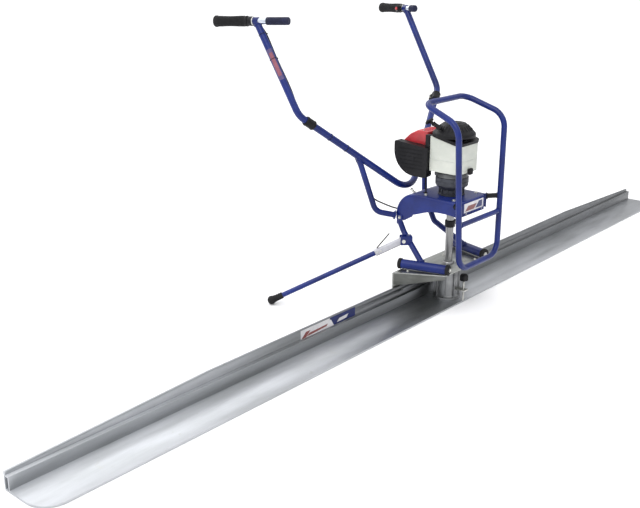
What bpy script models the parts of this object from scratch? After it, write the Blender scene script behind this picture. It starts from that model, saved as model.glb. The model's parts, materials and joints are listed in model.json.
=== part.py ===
"""Power screed: a long aluminium screed board under a rubber-mounted tube frame with a vertical-shaft engine.

Metres, +Z up. The origin is on the board's sole, under the drive shaft. +X runs along the board, and the
operator stands on the +Y side, holding the two handles and walking backwards.
"""

import math

import bmesh
import bpy
from mathutils import Matrix, Quaternion, Vector

# ---------------------------------------------------------------- driving dimensions
GAP = 0.0003                 # clearance left between touching pieces
WALL = 0.002                 # wall of the steel tubes
ROUND_STEP = math.radians(27)

BOARD_LENGTH = 3.658         # a 12 ft board
FLANGE_FRONT = -0.074
FLANGE_THICK = 0.006
RIB_FRONT = 0.070
WEB_FRONT = 0.084
RIB_BACK = 0.092
LEDGE_HEIGHT = 0.045
RIB_HEIGHT = 0.080
RIB_END_HEIGHT = 0.054
RIB_TAPER_START = 1.146
BOARD_END_RADIUS = 0.073

PLATE_TOP = 0.142
PLATE_THICK = 0.005
PLATE_REAR_HALF = 0.226
PLATE_FRONT_HALF = 0.130
PLATE_FRONT = -0.077
RIB_FLANGE_BOTTOM = 0.050
SKIRT_THICK = 0.003
SKIRT_INSET = 0.0006
SKIRT_END_GAP = 0.004
SKIRT_REAR_BOTTOM = 0.094
SKIRT_FRONT_BOTTOM = 0.124
KNOB_X = 0.175
KNOB_Z = 0.062

SHAFT_RADIUS = 0.006
EXCITER_RADIUS = 0.042
CAVITY_RADIUS = 0.032
POST_RADIUS = 0.0145

FOOT_BAR_RADIUS = 0.0175
FOOT_BAR_Z = 0.1625
FOOT_REAR = Vector((0.173, 0.091, FOOT_BAR_Z))
FOOT_FRONT = Vector((0.126, -0.074, FOOT_BAR_Z))
LEG_RADIUS = 0.011
LEG_TOP = Vector((0.100, 0.158, 0.296))
LEG_BEND = Vector((0.100, 0.138, 0.258))
LEG_TAB_THICK = 0.003
LEG_TAB_LOW = (0.146, 0.286)
LEG_TAB_HIGH = (0.172, 0.322)

DECK_TOP = 0.411
DECK_THICK = 0.004
DECK_HALF = 0.100
DECK_FRONT = -0.100
DECK_ARC_Y = 0.095
DECK_ARC_Z = 0.325
DECK_ARC_RADIUS = 0.086
DECK_REAR_BOTTOM = 0.302
DECK_REAR = DECK_ARC_Y + DECK_ARC_RADIUS

CAGE_RADIUS = 0.011
CAGE_BOTTOM = Vector((0.130, -0.130, 0.175))
CAGE_TOP = Vector((0.153, -0.116, 0.700))
CAGE_REAR = Vector((0.130, 0.045, 0.757))
CROSSBAR_Z = 0.342
STUB_Z = 0.400

TUBE_RADIUS = 0.0127         # 25.4 mm handle tube
YOKE_APEX = Vector((0.0, 0.183, 0.386))
YOKE_BEND = 0.097
HANDLE_CORNER = Vector((0.431, 0.369, 0.716))
SPLIT_SHARE = 0.912          # how far up the lower tube the upper handle starts
STRUT_TOP_SHARE = 0.494
SLEEVE_HALF = 0.020
SLEEVE_RADIUS = 0.0172
STRUT_CORNER = Vector((0.160, 0.230, 0.335))
STRUT_END = Vector((0.100, 0.180, 0.317))
TEE = Vector((0.445, 0.556, 1.032))
BAR_DIRECTION = Vector((0.277, 0.960, -0.035)).normalized()
BAR_RADIUS = 0.011
BAR_REAR = 0.170
BAR_FRONT = {"left": 0.130, "right": 0.065}
STUB_GRIP = {"left": 0.088, "right": 0.032}
GRIP_START = 0.032

STAND_PIVOT = Vector((-0.135, 0.117, 0.239))
STAND_FOOT = Vector((-0.494, 0.457, 0.0168))
STAND_FOOT_RADIUS = 0.0165
STAND_TUBE_RADIUS = 0.0095
CHANNEL_LENGTH = 0.115

CLUTCH_RADIUS = 0.060
ENGINE_BOTTOM = 0.480
TANK_HALF = 0.070
TANK_FRONT = -0.070
TANK_REAR = 0.055
TANK_BOTTOM = 0.5035
TANK_TOP = 0.606
DOME_RADIUS = 0.0785
DOME_TOP = 0.680
CYLINDER_Z = 0.545

PULL = Vector((-0.15, 0.90, 0.41)).normalized()
STARTER_GRIP = Vector((-0.072, 0.058, 0.684))

X_AXIS = Vector((1, 0, 0))
Y_AXIS = Vector((0, 1, 0))
Z_AXIS = Vector((0, 0, 1))

COLOURS = {                  # name: colour, roughness, metallic
    "blue_paint": ((0.030, 0.060, 0.360), 0.35, 0.0),
    "board_aluminium": ((0.62, 0.64, 0.66), 0.38, 1.0),
    "cast_aluminium": ((0.48, 0.49, 0.49), 0.50, 1.0),
    "zinc_steel": ((0.60, 0.60, 0.58), 0.35, 1.0),
    "dark_steel": ((0.16, 0.16, 0.17), 0.45, 1.0),
    "black_plastic": ((0.015, 0.016, 0.017), 0.45, 0.0),
    "black_rubber": ((0.012, 0.012, 0.013), 0.75, 0.0),
    "tank_plastic": ((0.76, 0.77, 0.72), 0.40, 0.0),
    "red_plastic": ((0.42, 0.030, 0.035), 0.35, 0.0),
}


# ---------------------------------------------------------------- scene and materials
def clear_scene():
    for obj in list(bpy.data.objects):
        bpy.data.objects.remove(obj)


def new_collection(name):
    collection = bpy.data.collections.new(name)
    bpy.context.scene.collection.children.link(collection)
    return collection


def material(name):
    found = bpy.data.materials.get(name)
    if found:
        return found
    colour, roughness, metallic = COLOURS[name]
    made = bpy.data.materials.new(name)
    made.use_nodes = True
    shader = made.node_tree.nodes["Principled BSDF"]
    shader.inputs["Base Color"].default_value = (*colour, 1.0)
    shader.inputs["Roughness"].default_value = roughness
    shader.inputs["Metallic"].default_value = metallic
    made.diffuse_color = (*colour, 1.0)
    return made


def put(name, data, finish, matrix=None):
    """A new object of the part, or a cutter where finish is None."""
    obj = bpy.data.objects.new(name, data)
    if matrix is not None:
        obj.matrix_world = matrix
    if finish is None:
        CUTTERS.objects.link(obj)
        obj.hide_render = True
        obj.display_type = "WIRE"
        return obj
    PARTS.objects.link(obj)
    data.materials.append(material(finish))
    return obj


def smooth(mesh):
    mesh.shade_smooth()
    mesh.set_sharp_from_angle(angle=math.radians(35))


def facing(direction, origin=(0, 0, 0), side=None):
    """A matrix whose Z runs along direction. Its X is side, made square to it."""
    z = Vector(direction).normalized()
    hint = Vector(side) if side is not None else (X_AXIS if abs(z.x) < 0.9 else Y_AXIS)
    x = (hint - z * hint.dot(z)).normalized()
    y = z.cross(x)
    turn = Matrix((x, y, z)).transposed().to_4x4()
    return Matrix.Translation(Vector(origin)) @ turn


YZ_PLANE = Matrix(((0, 0, 1, 0), (1, 0, 0, 0), (0, 1, 0, 0), (0, 0, 0, 1)))
XZ_PLANE = Matrix(((1, 0, 0, 0), (0, 0, -1, 0), (0, 1, 0, 0), (0, 0, 0, 1)))


# ---------------------------------------------------------------- shapes
def box(name, low, high, finish, bevel=0.0, segments=2, matrix=None):
    low, high = Vector(low), Vector(high)
    bm = bmesh.new()
    bmesh.ops.create_cube(bm, size=1.0)
    bmesh.ops.scale(bm, vec=high - low, verts=bm.verts)
    bmesh.ops.translate(bm, vec=(low + high) / 2, verts=bm.verts)
    mesh = bpy.data.meshes.new(name)
    bm.to_mesh(mesh)
    bm.free()
    obj = put(name, mesh, finish, matrix)
    if bevel:
        add_bevel(obj, bevel, segments)
    return obj


def add_bevel(obj, width, segments=2):
    bevel = obj.modifiers.new("Bevel", "BEVEL")
    bevel.width = width
    bevel.segments = segments
    bevel.limit_method = "ANGLE"
    return bevel


def rod(name, start, end, radius, finish, sides=16):
    start, end = Vector(start), Vector(end)
    bm = bmesh.new()
    length = (end - start).length
    bmesh.ops.create_cone(bm, cap_ends=True, segments=sides, radius1=radius, radius2=radius, depth=length)
    mesh = bpy.data.meshes.new(name)
    bm.to_mesh(mesh)
    bm.free()
    smooth(mesh)
    return put(name, mesh, finish, facing(end - start, (start + end) / 2))


def turned(name, profile, finish, matrix=None, steps=20, closed=False):
    """A solid of revolution about local Z. The (radius, height) profile runs down its outer side."""
    mesh = bpy.data.meshes.new(name)
    last = len(profile) - 1
    edges = [(i, i + 1) for i in range(last)]
    if closed:
        edges.append((last, 0))
    mesh.from_pydata([(r, 0, z) for r, z in profile], edges, [])
    obj = put(name, mesh, finish, matrix)
    screw = obj.modifiers.new("Screw", "SCREW")
    screw.steps = steps
    screw.render_steps = steps
    screw.use_merge_vertices = True
    screw.merge_threshold = 0.0001
    screw.use_smooth_shade = True
    return obj


def ring(name, inner, outer, bottom, top, finish, matrix=None, steps=20):
    profile = [(inner, top), (outer, top), (outer, bottom), (inner, bottom)]
    return turned(name, profile, finish, matrix, steps, closed=True)


def prism(name, outlines, thickness, finish, matrix=None):
    """Flat outlines in local XY, the first outside and the rest holes, thickened evenly about the plane."""
    curve = bpy.data.curves.new(name, "CURVE")
    curve.dimensions = "2D"
    curve.fill_mode = "BOTH"
    curve.extrude = thickness / 2
    for outline in outlines:
        spline = curve.splines.new("POLY")
        spline.points.add(len(outline) - 1)
        spline.use_cyclic_u = True
        for point, (x, y) in zip(spline.points, outline):
            point.co = (x, y, 0, 1)
    return to_mesh(put(name, curve, finish, matrix))


def to_mesh(obj):
    """Replaces a curve object by a mesh object of the same name and place, with its caps welded."""
    name, world = obj.name, obj.matrix_world.copy()
    collections = list(obj.users_collection)
    graph = bpy.context.evaluated_depsgraph_get()
    mesh = bpy.data.meshes.new_from_object(obj.evaluated_get(graph))
    is_cutter = obj.hide_render
    bpy.data.objects.remove(obj)
    bm = bmesh.new()
    bm.from_mesh(mesh)
    bmesh.ops.remove_doubles(bm, verts=bm.verts, dist=0.000002)
    bmesh.ops.recalc_face_normals(bm, faces=bm.faces)
    bm.to_mesh(mesh)
    bm.free()
    mesh.name = name
    made = bpy.data.objects.new(name, mesh)
    made.matrix_world = world
    for collection in collections:
        collection.objects.link(made)
    if is_cutter:
        made.hide_render = True
        made.display_type = "WIRE"
    return made


def swept(name, points, radius, finish, wall=0.0, cyclic=False, resolution=3):
    """A round tube along the points: solid with flat ends, or hollow and open-ended where wall is given."""
    curve = bpy.data.curves.new(name, "CURVE")
    curve.dimensions = "3D"
    curve.bevel_depth = radius
    curve.bevel_resolution = resolution
    curve.use_fill_caps = not (wall or cyclic)
    spline = curve.splines.new("POLY")
    spline.points.add(len(points) - 1)
    spline.use_cyclic_u = cyclic
    for point, place in zip(spline.points, points):
        point.co = (*place, 1)
    obj = to_mesh(put(name, curve, finish))
    smooth(obj.data)
    if wall:
        shell = obj.modifiers.new("Solidify", "SOLIDIFY")
        shell.thickness = wall
        shell.offset = -1
    return obj


def arc(corner, before, after, radius):
    """The points that round one corner of a path."""
    a = (before - corner).normalized()
    b = (after - corner).normalized()
    turn = math.pi - a.angle(b)
    reach = radius * math.tan(turn / 2)
    centre = corner + (a + b).normalized() * (radius / math.cos(turn / 2))
    start = corner + a * reach - centre
    end = corner + b * reach - centre
    axis = start.cross(end).normalized()
    count = max(2, math.ceil(turn / ROUND_STEP))
    return [centre + Quaternion(axis, turn * i / count) @ start for i in range(count + 1)]


def bent(corners, radii):
    """An open path through the corners, with each inner corner rounded."""
    points = [corners[0]]
    for before, corner, after, radius in zip(corners, corners[1:], corners[2:], radii):
        points += arc(corner, before, after, radius)
    points.append(corners[-1])
    return points


def closed_bent(corners, radii):
    points = []
    count = len(corners)
    for i, (corner, radius) in enumerate(zip(corners, radii)):
        points += arc(corner, corners[i - 1], corners[(i + 1) % count], radius)
    return points


def circle_arc(centre, radius, first, last, count):
    """Points of a flat arc, with its angles in degrees."""
    angles = [math.radians(first + (last - first) * i / count) for i in range(count + 1)]
    return [(centre[0] + radius * math.cos(a), centre[1] + radius * math.sin(a)) for a in angles]


def smooth_route(places, steps):
    """A Catmull-Rom curve through the places."""
    ends = [places[0] * 2 - places[1], *places, places[-1] * 2 - places[-2]]
    points = []
    for a, b, c, d in zip(ends, ends[1:], ends[2:], ends[3:]):
        for i in range(steps):
            t = i / steps
            points.append(
                0.5 * (2 * b + (c - a) * t + (2 * a - 5 * b + 4 * c - d) * t**2 + (3 * b - a - 3 * c + d) * t**3)
            )
    points.append(places[-1])
    return points


def combine(obj, other, operation):
    step = obj.modifiers.new(operation.title(), "BOOLEAN")
    step.operation = operation
    step.object = other
    step.solver = "EXACT"
    return obj


def cut(obj, *cutters):
    for cutter in cutters:
        combine(obj, cutter, "DIFFERENCE")
    return obj


def weld(obj, *others):
    for other in others:
        combine(obj, other, "UNION")
    return obj


def bore(radius, sides=16):
    """The radius that a faceted hole needs to clear a rod."""
    return (radius + GAP) / math.cos(math.pi / sides)


def mirrored(place, sign):
    return Vector((place[0] * sign, place[1], place[2]))


def pivot(name, place, *children):
    """An empty on a joint's axis, with the moving pieces parented to it."""
    empty = bpy.data.objects.new(name, None)
    empty.empty_display_size = 0.03
    empty.location = place
    PARTS.objects.link(empty)
    for child in children:
        child.parent = empty
        child.matrix_parent_inverse = Matrix.Translation(-Vector(place))
    return empty


# ---------------------------------------------------------------- board and base
def make_board():
    outer = [
        (FLANGE_FRONT, 0),
        (RIB_BACK, 0),
        (RIB_BACK, RIB_HEIGHT),
        (WEB_FRONT, RIB_HEIGHT),
        (WEB_FRONT, LEDGE_HEIGHT),
        (RIB_FRONT, LEDGE_HEIGHT),
        (RIB_FRONT, FLANGE_THICK),
        (FLANGE_FRONT, FLANGE_THICK),
    ]
    wall = 0.004
    inner = [
        (RIB_FRONT + wall, wall),
        (RIB_BACK - wall, wall),
        (RIB_BACK - wall, LEDGE_HEIGHT - wall),
        (RIB_FRONT + wall, LEDGE_HEIGHT - wall),
    ]
    board = prism("screed_board", [outer, inner], BOARD_LENGTH, "board_aluminium", YZ_PLANE)
    half = BOARD_LENGTH / 2
    for side in (-1, 1):
        slope = [
            (side * RIB_TAPER_START, RIB_HEIGHT),
            (side * (half + 0.01), RIB_END_HEIGHT),
            (side * (half + 0.01), RIB_HEIGHT + 0.02),
            (side * RIB_TAPER_START, RIB_HEIGHT + 0.02),
        ]
        place = Matrix.Translation((0, RIB_BACK, 0)) @ XZ_PLANE
        cut(board, prism(f"cut_rib_end{side}", [slope], 0.06, None, place))
        start_y = FLANGE_FRONT + BOARD_END_RADIUS
        centre = (half - BOARD_END_RADIUS, start_y)
        curve = circle_arc(centre, BOARD_END_RADIUS, 0, -90, 12)
        corner = curve + [(centre[0], start_y - 0.16), (half + 0.02, start_y - 0.16), (half + 0.02, start_y)]
        corner = [(side * x, y) for x, y in corner]
        cut(board, prism(f"cut_flange_end{side}", [corner], 0.04, None))
        ends = (side * KNOB_X, 0.08, KNOB_Z), (side * KNOB_X, 0.10, KNOB_Z)
        hole = rod(f"cut_rib_hole{side}", *ends, 0.0045, None)
        cut(board, hole)


def plate_skirt(side, rear):
    """The turned-down edge of one slanted side: deep at the rear and shallow at the front."""
    start = Vector((side * PLATE_REAR_HALF, rear, 0))
    end = Vector((side * PLATE_FRONT_HALF, PLATE_FRONT, 0))
    along = (end - start).normalized()
    outwards = Vector((-along.y, along.x, 0)) * side
    inset = SKIRT_THICK / 2 + SKIRT_INSET
    top = PLATE_TOP - PLATE_THICK / 2
    last = (end - start).length - SKIRT_END_GAP
    outline = [(SKIRT_END_GAP, SKIRT_REAR_BOTTOM), (last, SKIRT_FRONT_BOTTOM), (last, top), (SKIRT_END_GAP, top)]
    matrix = facing(along.cross(Z_AXIS), start - outwards * inset, along)
    return prism(f"add_skirt{side}", [outline], SKIRT_THICK, None, matrix)


def make_base_plate():
    rear = RIB_BACK + GAP + PLATE_THICK
    outline = [
        (-PLATE_REAR_HALF, rear),
        (-PLATE_FRONT_HALF, PLATE_FRONT),
        (PLATE_FRONT_HALF, PLATE_FRONT),
        (PLATE_REAR_HALF, rear),
    ]
    middle = PLATE_TOP - PLATE_THICK / 2
    plate = prism("base_plate", [outline], PLATE_THICK, "cast_aluminium", Matrix.Translation((0, 0, middle)))
    flange = box(
        "add_rib_flange",
        (-PLATE_REAR_HALF + 0.002, rear - PLATE_THICK, RIB_FLANGE_BOTTOM),
        (PLATE_REAR_HALF - 0.002, rear, PLATE_TOP - 0.001),
        None,
    )
    weld(plate, flange)
    for side in (-1, 1):
        weld(plate, plate_skirt(side, rear))
    cut(plate, rod("cut_plate_shaft", (0, 0, 0.12), (0, 0, 0.16), 0.011, None))
    for side in (-1, 1):
        ends = (side * KNOB_X, 0.085, KNOB_Z), (side * KNOB_X, 0.11, KNOB_Z)
        cut(plate, rod(f"cut_flange_hole{side}", *ends, 0.0045, None))


def make_exciter():
    bottom = FLANGE_THICK + GAP
    top = PLATE_TOP - PLATE_THICK - GAP
    floor = bottom + 0.012
    profile = [
        (0, floor),
        (CAVITY_RADIUS, floor),
        (CAVITY_RADIUS, top - 0.012),
        (0.011, top - 0.012),
        (0.011, top),
        (EXCITER_RADIUS + 0.012, top),
        (EXCITER_RADIUS + 0.012, top - 0.010),
        (EXCITER_RADIUS, top - 0.016),
        (EXCITER_RADIUS, bottom + 0.014),
        (EXCITER_RADIUS + 0.010, bottom + 0.009),
        (EXCITER_RADIUS + 0.010, bottom),
        (0, bottom),
    ]
    turned("exciter_housing", profile, "cast_aluminium")
    bearing_bore = bore(SHAFT_RADIUS)
    bearing_outside = CAVITY_RADIUS - 2 * GAP
    ring("lower_bearing", bearing_bore, bearing_outside, floor + GAP, floor + 0.010, "zinc_steel")
    ring("upper_bearing", bearing_bore, bearing_outside, top - 0.023, top - 0.012 - GAP, "zinc_steel")
    heavy_side = circle_arc((0, 0), 0.027, -90, 90, 12)
    hub_side = circle_arc((0, 0), 0.011, 90, 270, 10)
    shaft_hole = circle_arc((0, 0), bearing_bore, 0, 337.5, 15)
    middle = Matrix.Translation((0, 0, (floor + top) / 2 - 0.004))
    weight = prism("eccentric_weight", [heavy_side + hub_side, shaft_hole], 0.045, "dark_steel", middle)
    shaft = rod("drive_shaft", (0, 0, floor + GAP), (0, 0, 0.4296), SHAFT_RADIUS, "zinc_steel")
    return weight, shaft


def make_post():
    heights = PLATE_TOP + GAP, DECK_TOP - DECK_THICK - GAP
    ring("drive_post", SHAFT_RADIUS + 0.004, POST_RADIUS, *heights, "zinc_steel")
    profile_low, profile_high = 0.285, 0.311
    outside = POST_RADIUS + 0.005
    boot = turned(
        "post_clamp",
        [
            (POST_RADIUS + GAP, profile_high),
            (outside - 0.002, profile_high),
            (outside, profile_high - 0.003),
            (outside, profile_low + 0.003),
            (outside - 0.002, profile_low),
            (POST_RADIUS + GAP, profile_low),
        ],
        "black_plastic",
        closed=True,
    )
    lug = box("add_clamp_lug", (POST_RADIUS + 0.002, -0.007, 0.289), (0.040, 0.007, 0.307), None, 0.002)
    weld(boot, lug)


def make_front_clamp():
    """A strap off the exciter and a knob whose stud presses the front of the board's flange."""
    strap_z, strap_thick, knob_y = 0.046, 0.006, -0.0735
    strap = box(
        "front_clamp",
        (-0.013, knob_y - 0.013, strap_z),
        (0.013, -0.020, strap_z + strap_thick),
        "zinc_steel",
        0.0015,
    )
    cut(strap, rod("cut_strap_bore", (0, knob_y, 0.03), (0, knob_y, 0.07), 0.0045, None))
    cut(strap, drum_cutter("cut_strap_end", EXCITER_RADIUS + GAP, 0.03, 0.08))
    knob = make_knob("front_clamp_knob", (0, knob_y, 0.086), Z_AXIS, 0.086 - FLANGE_THICK - GAP)
    pivot("front_knob_axis", (0, knob_y, 0.086), knob)


def drum_cutter(name, radius, low, high, matrix=None, steps=20):
    """A solid cylinder about local Z."""
    return turned(name, [(0, high), (radius, high), (radius, low), (0, low)], None, matrix, steps)


def make_knob(name, place, direction, stud_length):
    """A fluted hand knob with its stud, standing on its back face at place and pointing along direction."""
    radius, height, lobes, count = 0.015, 0.026, 5, 30
    outline = []
    for i in range(count):
        angle = 2 * math.pi * i / count
        reach = radius * (1 + 0.09 * math.cos(lobes * angle))
        outline.append((reach * math.cos(angle), reach * math.sin(angle)))
    matrix = facing(direction, place)
    knob = prism(name, [outline], height, "black_plastic", matrix @ Matrix.Translation((0, 0, height / 2)))
    start = matrix @ Vector((0, 0, 0.004))
    end = matrix @ Vector((0, 0, -stud_length))
    weld(knob, rod(f"add_{name}_stud", start, end, 0.0038, None, 12))
    return knob


def make_rear_knobs():
    for label, side in (("left", -1), ("right", 1)):
        back = RIB_BACK + 2 * GAP + PLATE_THICK
        place = (side * KNOB_X, back, KNOB_Z)
        knob = make_knob(f"{label}_rib_knob", place, Y_AXIS, back - WEB_FRONT - 0.001)
        pivot(f"{label}_knob_axis", place, knob)


# ---------------------------------------------------------------- frame
def make_feet():
    for label, side in (("left", -1), ("right", 1)):
        rear, front = mirrored(FOOT_REAR, side), mirrored(FOOT_FRONT, side)
        along = (front - rear).normalized()
        bar = rod(f"{label}_foot", rear, front, FOOT_BAR_RADIUS, "blue_paint", 20)
        middle = (rear + front) / 2
        path = bent([mirrored(LEG_TOP, side), mirrored(LEG_BEND, side), middle], [0.03])
        path[-1] = middle + (path[-2] - middle).normalized() * 0.010
        leg = swept(f"add_{label}_leg", path, LEG_RADIUS, None, WALL)
        weld(bar, leg)
        near, far = sorted((side * (DECK_HALF + GAP), side * (DECK_HALF + GAP + LEG_TAB_THICK)))
        tab = box(f"add_{label}_tab", (near, *LEG_TAB_LOW), (far, *LEG_TAB_HIGH), None)
        weld(bar, tab)
        inside = FOOT_BAR_RADIUS - 0.003
        cut(bar, rod(f"cut_{label}_foot_bore", rear - along * 0.01, front + along * 0.01, inside, None, 20))
        core, disc_radius, disc = inside - GAP, FOOT_BAR_Z - PLATE_TOP - GAP, 0.013
        profile = [
            (0, disc + GAP),
            (disc_radius - 0.003, disc + GAP),
            (disc_radius, disc - 0.003 + GAP),
            (disc_radius, GAP),
            (core, GAP),
            (core, -0.020),
            (0, -0.020),
        ]
        for end, place, outward in (("rear", rear, -along), ("front", front, along)):
            turned(f"{label}_{end}_isolator", profile, "black_rubber", facing(outward, place), 20)


def make_deck():
    """The pressed deck: a top that curls down at the back, two arched side flanges and a front flange."""
    thick = DECK_THICK
    outer = circle_arc((DECK_ARC_Y, DECK_ARC_Z), DECK_ARC_RADIUS, 90, 0, 7)
    inner = circle_arc((DECK_ARC_Y, DECK_ARC_Z), DECK_ARC_RADIUS - thick, 0, 90, 7)
    section = [
        (DECK_FRONT, DECK_TOP),
        *outer,
        (DECK_REAR, DECK_REAR_BOTTOM),
        (DECK_REAR - thick, DECK_REAR_BOTTOM),
        *inner,
        (DECK_FRONT, DECK_TOP - thick),
    ]
    deck = prism("engine_deck", [section], 2 * DECK_HALF, "blue_paint", YZ_PLANE)
    rim = circle_arc((DECK_ARC_Y, DECK_ARC_Z), DECK_ARC_RADIUS - 0.0005, 90, 0, 7)
    arch_points = [(0.143, 0.3025), (0.091, 0.334), (0.022, 0.359), (-0.035, 0.362), (DECK_FRONT + 0.0007, 0.352)]
    arch = smooth_flat(arch_points, 2)
    side_outline = [(DECK_FRONT + 0.0007, DECK_TOP - 0.0005), *rim, (DECK_REAR - 0.0005, DECK_REAR_BOTTOM), *arch]
    for side in (-1, 1):
        place = Matrix.Translation((side * (DECK_HALF - thick / 2 - 0.0006), 0, 0)) @ YZ_PLANE
        weld(deck, prism(f"add_deck_side{side}", [side_outline], thick, None, place))
    low = (-0.080, DECK_FRONT + 0.0004, 0.356)
    high = (0.072, DECK_FRONT + thick + 0.0004, DECK_TOP - 0.001)
    front = box("add_deck_front", low, high, None)
    weld(deck, front)
    cut(deck, rod("cut_deck_shaft", (0, 0, 0.38), (0, 0, 0.43), 0.009, None))
    for name, start, end in CABLE_HOLES:
        cut(deck, rod(name, start, end, CABLE_HOLE_RADIUS, None, 12))


def smooth_flat(places, steps):
    """A smooth flat curve through (x, y) places."""
    route = smooth_route([Vector((x, y, 0)) for x, y in places], steps)
    return [(point.x, point.y) for point in route]


def make_cage():
    left = [mirrored(place, -1) for place in (CAGE_REAR, CAGE_TOP, CAGE_BOTTOM)]
    corners = left + [CAGE_BOTTOM.copy(), CAGE_TOP.copy(), CAGE_REAR.copy()]
    cage = swept("roll_cage", closed_bent(corners, [0.045, 0.07, 0.055, 0.055, 0.07, 0.045]), CAGE_RADIUS,
                 "blue_paint", WALL, cyclic=True)
    along = (CROSSBAR_Z - CAGE_BOTTOM.z) / (CAGE_TOP.z - CAGE_BOTTOM.z)
    cross_end = CAGE_BOTTOM.lerp(CAGE_TOP, along)
    inset = Vector((0.003, 0, 0))
    weld(cage, rod("add_crossbar", mirrored(cross_end - inset, -1), cross_end - inset, 0.0095, None))
    along = (STUB_Z - CAGE_BOTTOM.z) / (CAGE_TOP.z - CAGE_BOTTOM.z)
    stub_end = CAGE_BOTTOM.lerp(CAGE_TOP, along)
    stub_start = Vector((DECK_HALF + GAP + 0.001, DECK_FRONT + 0.012, DECK_TOP - 0.012))
    for side in (-1, 1):
        start, end = mirrored(stub_start, side), mirrored(stub_end, side)
        end = end + (start - end).normalized() * 0.003
        stub = rod(f"add_stub{side}", start - (end - start) * 0.3, end, 0.0095, None)
        weld(cage, stub)
    clearance = box(
        "cut_stub_ends",
        (-DECK_HALF - GAP, DECK_FRONT - 0.03, 0.33),
        (DECK_HALF + GAP, 0.1, 0.46),
        None,
    )
    cut(cage, clearance)
    cut(cage, rod("cut_weld_vent", (0, CAGE_BOTTOM.y, 0.14), (0, CAGE_BOTTOM.y, 0.17), 0.003, None, 12))


def lower_tube_point(side, share):
    return mirrored(YOKE_APEX.lerp(HANDLE_CORNER, share), side)


def make_yoke():
    ends = [lower_tube_point(side, SPLIT_SHARE) for side in (-1, 1)]
    yoke = swept("handle_yoke", bent([ends[0], YOKE_APEX, ends[1]], [YOKE_BEND]), TUBE_RADIUS, "blue_paint", WALL)
    for side in (-1, 1):
        top = lower_tube_point(side, STRUT_TOP_SHARE)
        corners = [top, mirrored(STRUT_CORNER, side), mirrored(STRUT_END, side)]
        down = (corners[1] - top).normalized()
        corners[0] = top + down * 0.008
        strut = swept(f"add_strut{side}", bent(corners, [0.045]), 0.011, None, WALL)
        weld(yoke, strut)
    clearance = box(
        "cut_strut_ends",
        (-0.2, 0.12, 0.28),
        (0.2, DECK_REAR + GAP, 0.38),
        None,
    )
    cut(yoke, clearance)
    deck_centre = Vector((0, DECK_ARC_Y, DECK_ARC_Z))
    bottom = YOKE_APEX + (lower_tube_point(1, 1) + lower_tube_point(-1, 1) - 2 * YOKE_APEX).normalized() * (
        YOKE_BEND / math.sin(yoke_half_angle()) - YOKE_BEND
    )
    across = (bottom - deck_centre).normalized()
    start = deck_centre + across * (DECK_ARC_RADIUS + GAP)
    end = bottom - across * (TUBE_RADIUS + GAP)
    rod("yoke_standoff", start, end, 0.006, "zinc_steel")


def yoke_half_angle():
    arm = HANDLE_CORNER - YOKE_APEX
    return math.atan2(arm.x, math.hypot(arm.y, arm.z))


def make_handle(label, side):
    """One upper handle with its bar and rubber grips, turning in a clamp sleeve on the lower tube."""
    split = lower_tube_point(side, SPLIT_SHARE)
    corner = mirrored(HANDLE_CORNER, side)
    up = (corner - split).normalized()
    sleeve_frame = facing(up, split)
    sleeve_profile = [
        (bore(TUBE_RADIUS), SLEEVE_HALF),
        (SLEEVE_RADIUS - 0.001, SLEEVE_HALF),
        (SLEEVE_RADIUS, SLEEVE_HALF - 0.002),
        (SLEEVE_RADIUS, 0.002 - SLEEVE_HALF),
        (SLEEVE_RADIUS - 0.001, -SLEEVE_HALF),
        (bore(TUBE_RADIUS), -SLEEVE_HALF),
    ]
    turned(f"{label}_handle_clamp", sleeve_profile, "black_plastic", sleeve_frame, 16, closed=True)
    tee = mirrored(TEE, side)
    tube_points = bent([split + up * 2 * GAP, corner, tee], [0.06])
    tube_points[-1] = tee + (tube_points[-2] - tee).normalized() * 0.006
    tube = swept(f"{label}_handle_tube", tube_points, TUBE_RADIUS, "blue_paint", WALL)
    inside = TUBE_RADIUS - WALL
    snug = inside * math.cos(math.pi / 10) - GAP
    spigot_profile = [
        (0, 0.018),
        (inside + 0.0006, 0.018),
        (inside + 0.0006, 0.001),
        (snug, 0.001),
        (snug, -0.050),
        (0, -0.050),
    ]
    weld(tube, turned(f"add_{label}_spigot", spigot_profile, None, sleeve_frame, 16))
    rear = mirrored(BAR_DIRECTION, side)
    bar_rear = tee + rear * (BAR_REAR - 0.006)
    bar_front = tee - rear * (BAR_FRONT[label] - 0.004)
    weld(tube, rod(f"add_{label}_bar", bar_front, bar_rear, BAR_RADIUS, None))
    bar_frame = facing(rear, tee, -Z_AXIS)
    hole = bore(BAR_RADIUS)
    rear_profile = [
        (0, BAR_REAR - 0.004),
        (hole, BAR_REAR - 0.004),
        (hole, GRIP_START),
        (0.0165, GRIP_START),
        (0.0172, GRIP_START + 0.003),
        (0.0165, GRIP_START + 0.010),
        (0.0176, GRIP_START + 0.040),
        (0.0180, BAR_REAR - 0.040),
        (0.0205, BAR_REAR - 0.012),
        (0.0205, BAR_REAR - 0.004),
        (0.0180, BAR_REAR),
        (0, BAR_REAR),
    ]
    rear_grip = turned(f"{label}_rear_grip", rear_profile[::-1], "black_rubber", bar_frame, 16)
    front = BAR_FRONT[label]
    stub_start = front - STUB_GRIP[label]
    front_profile = [
        (hole, -stub_start),
        (0.0135, -stub_start),
        (0.0140, -stub_start - 0.003),
        (0.0138, 0.004 - front),
        (0.0120, -front),
        (0, -front),
        (0, 0.002 - front),
        (hole, 0.002 - front),
    ]
    front_grip = turned(f"{label}_front_grip", front_profile, "black_rubber", bar_frame, 16, closed=True)
    return tube, rear_grip, front_grip, bar_frame


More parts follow.
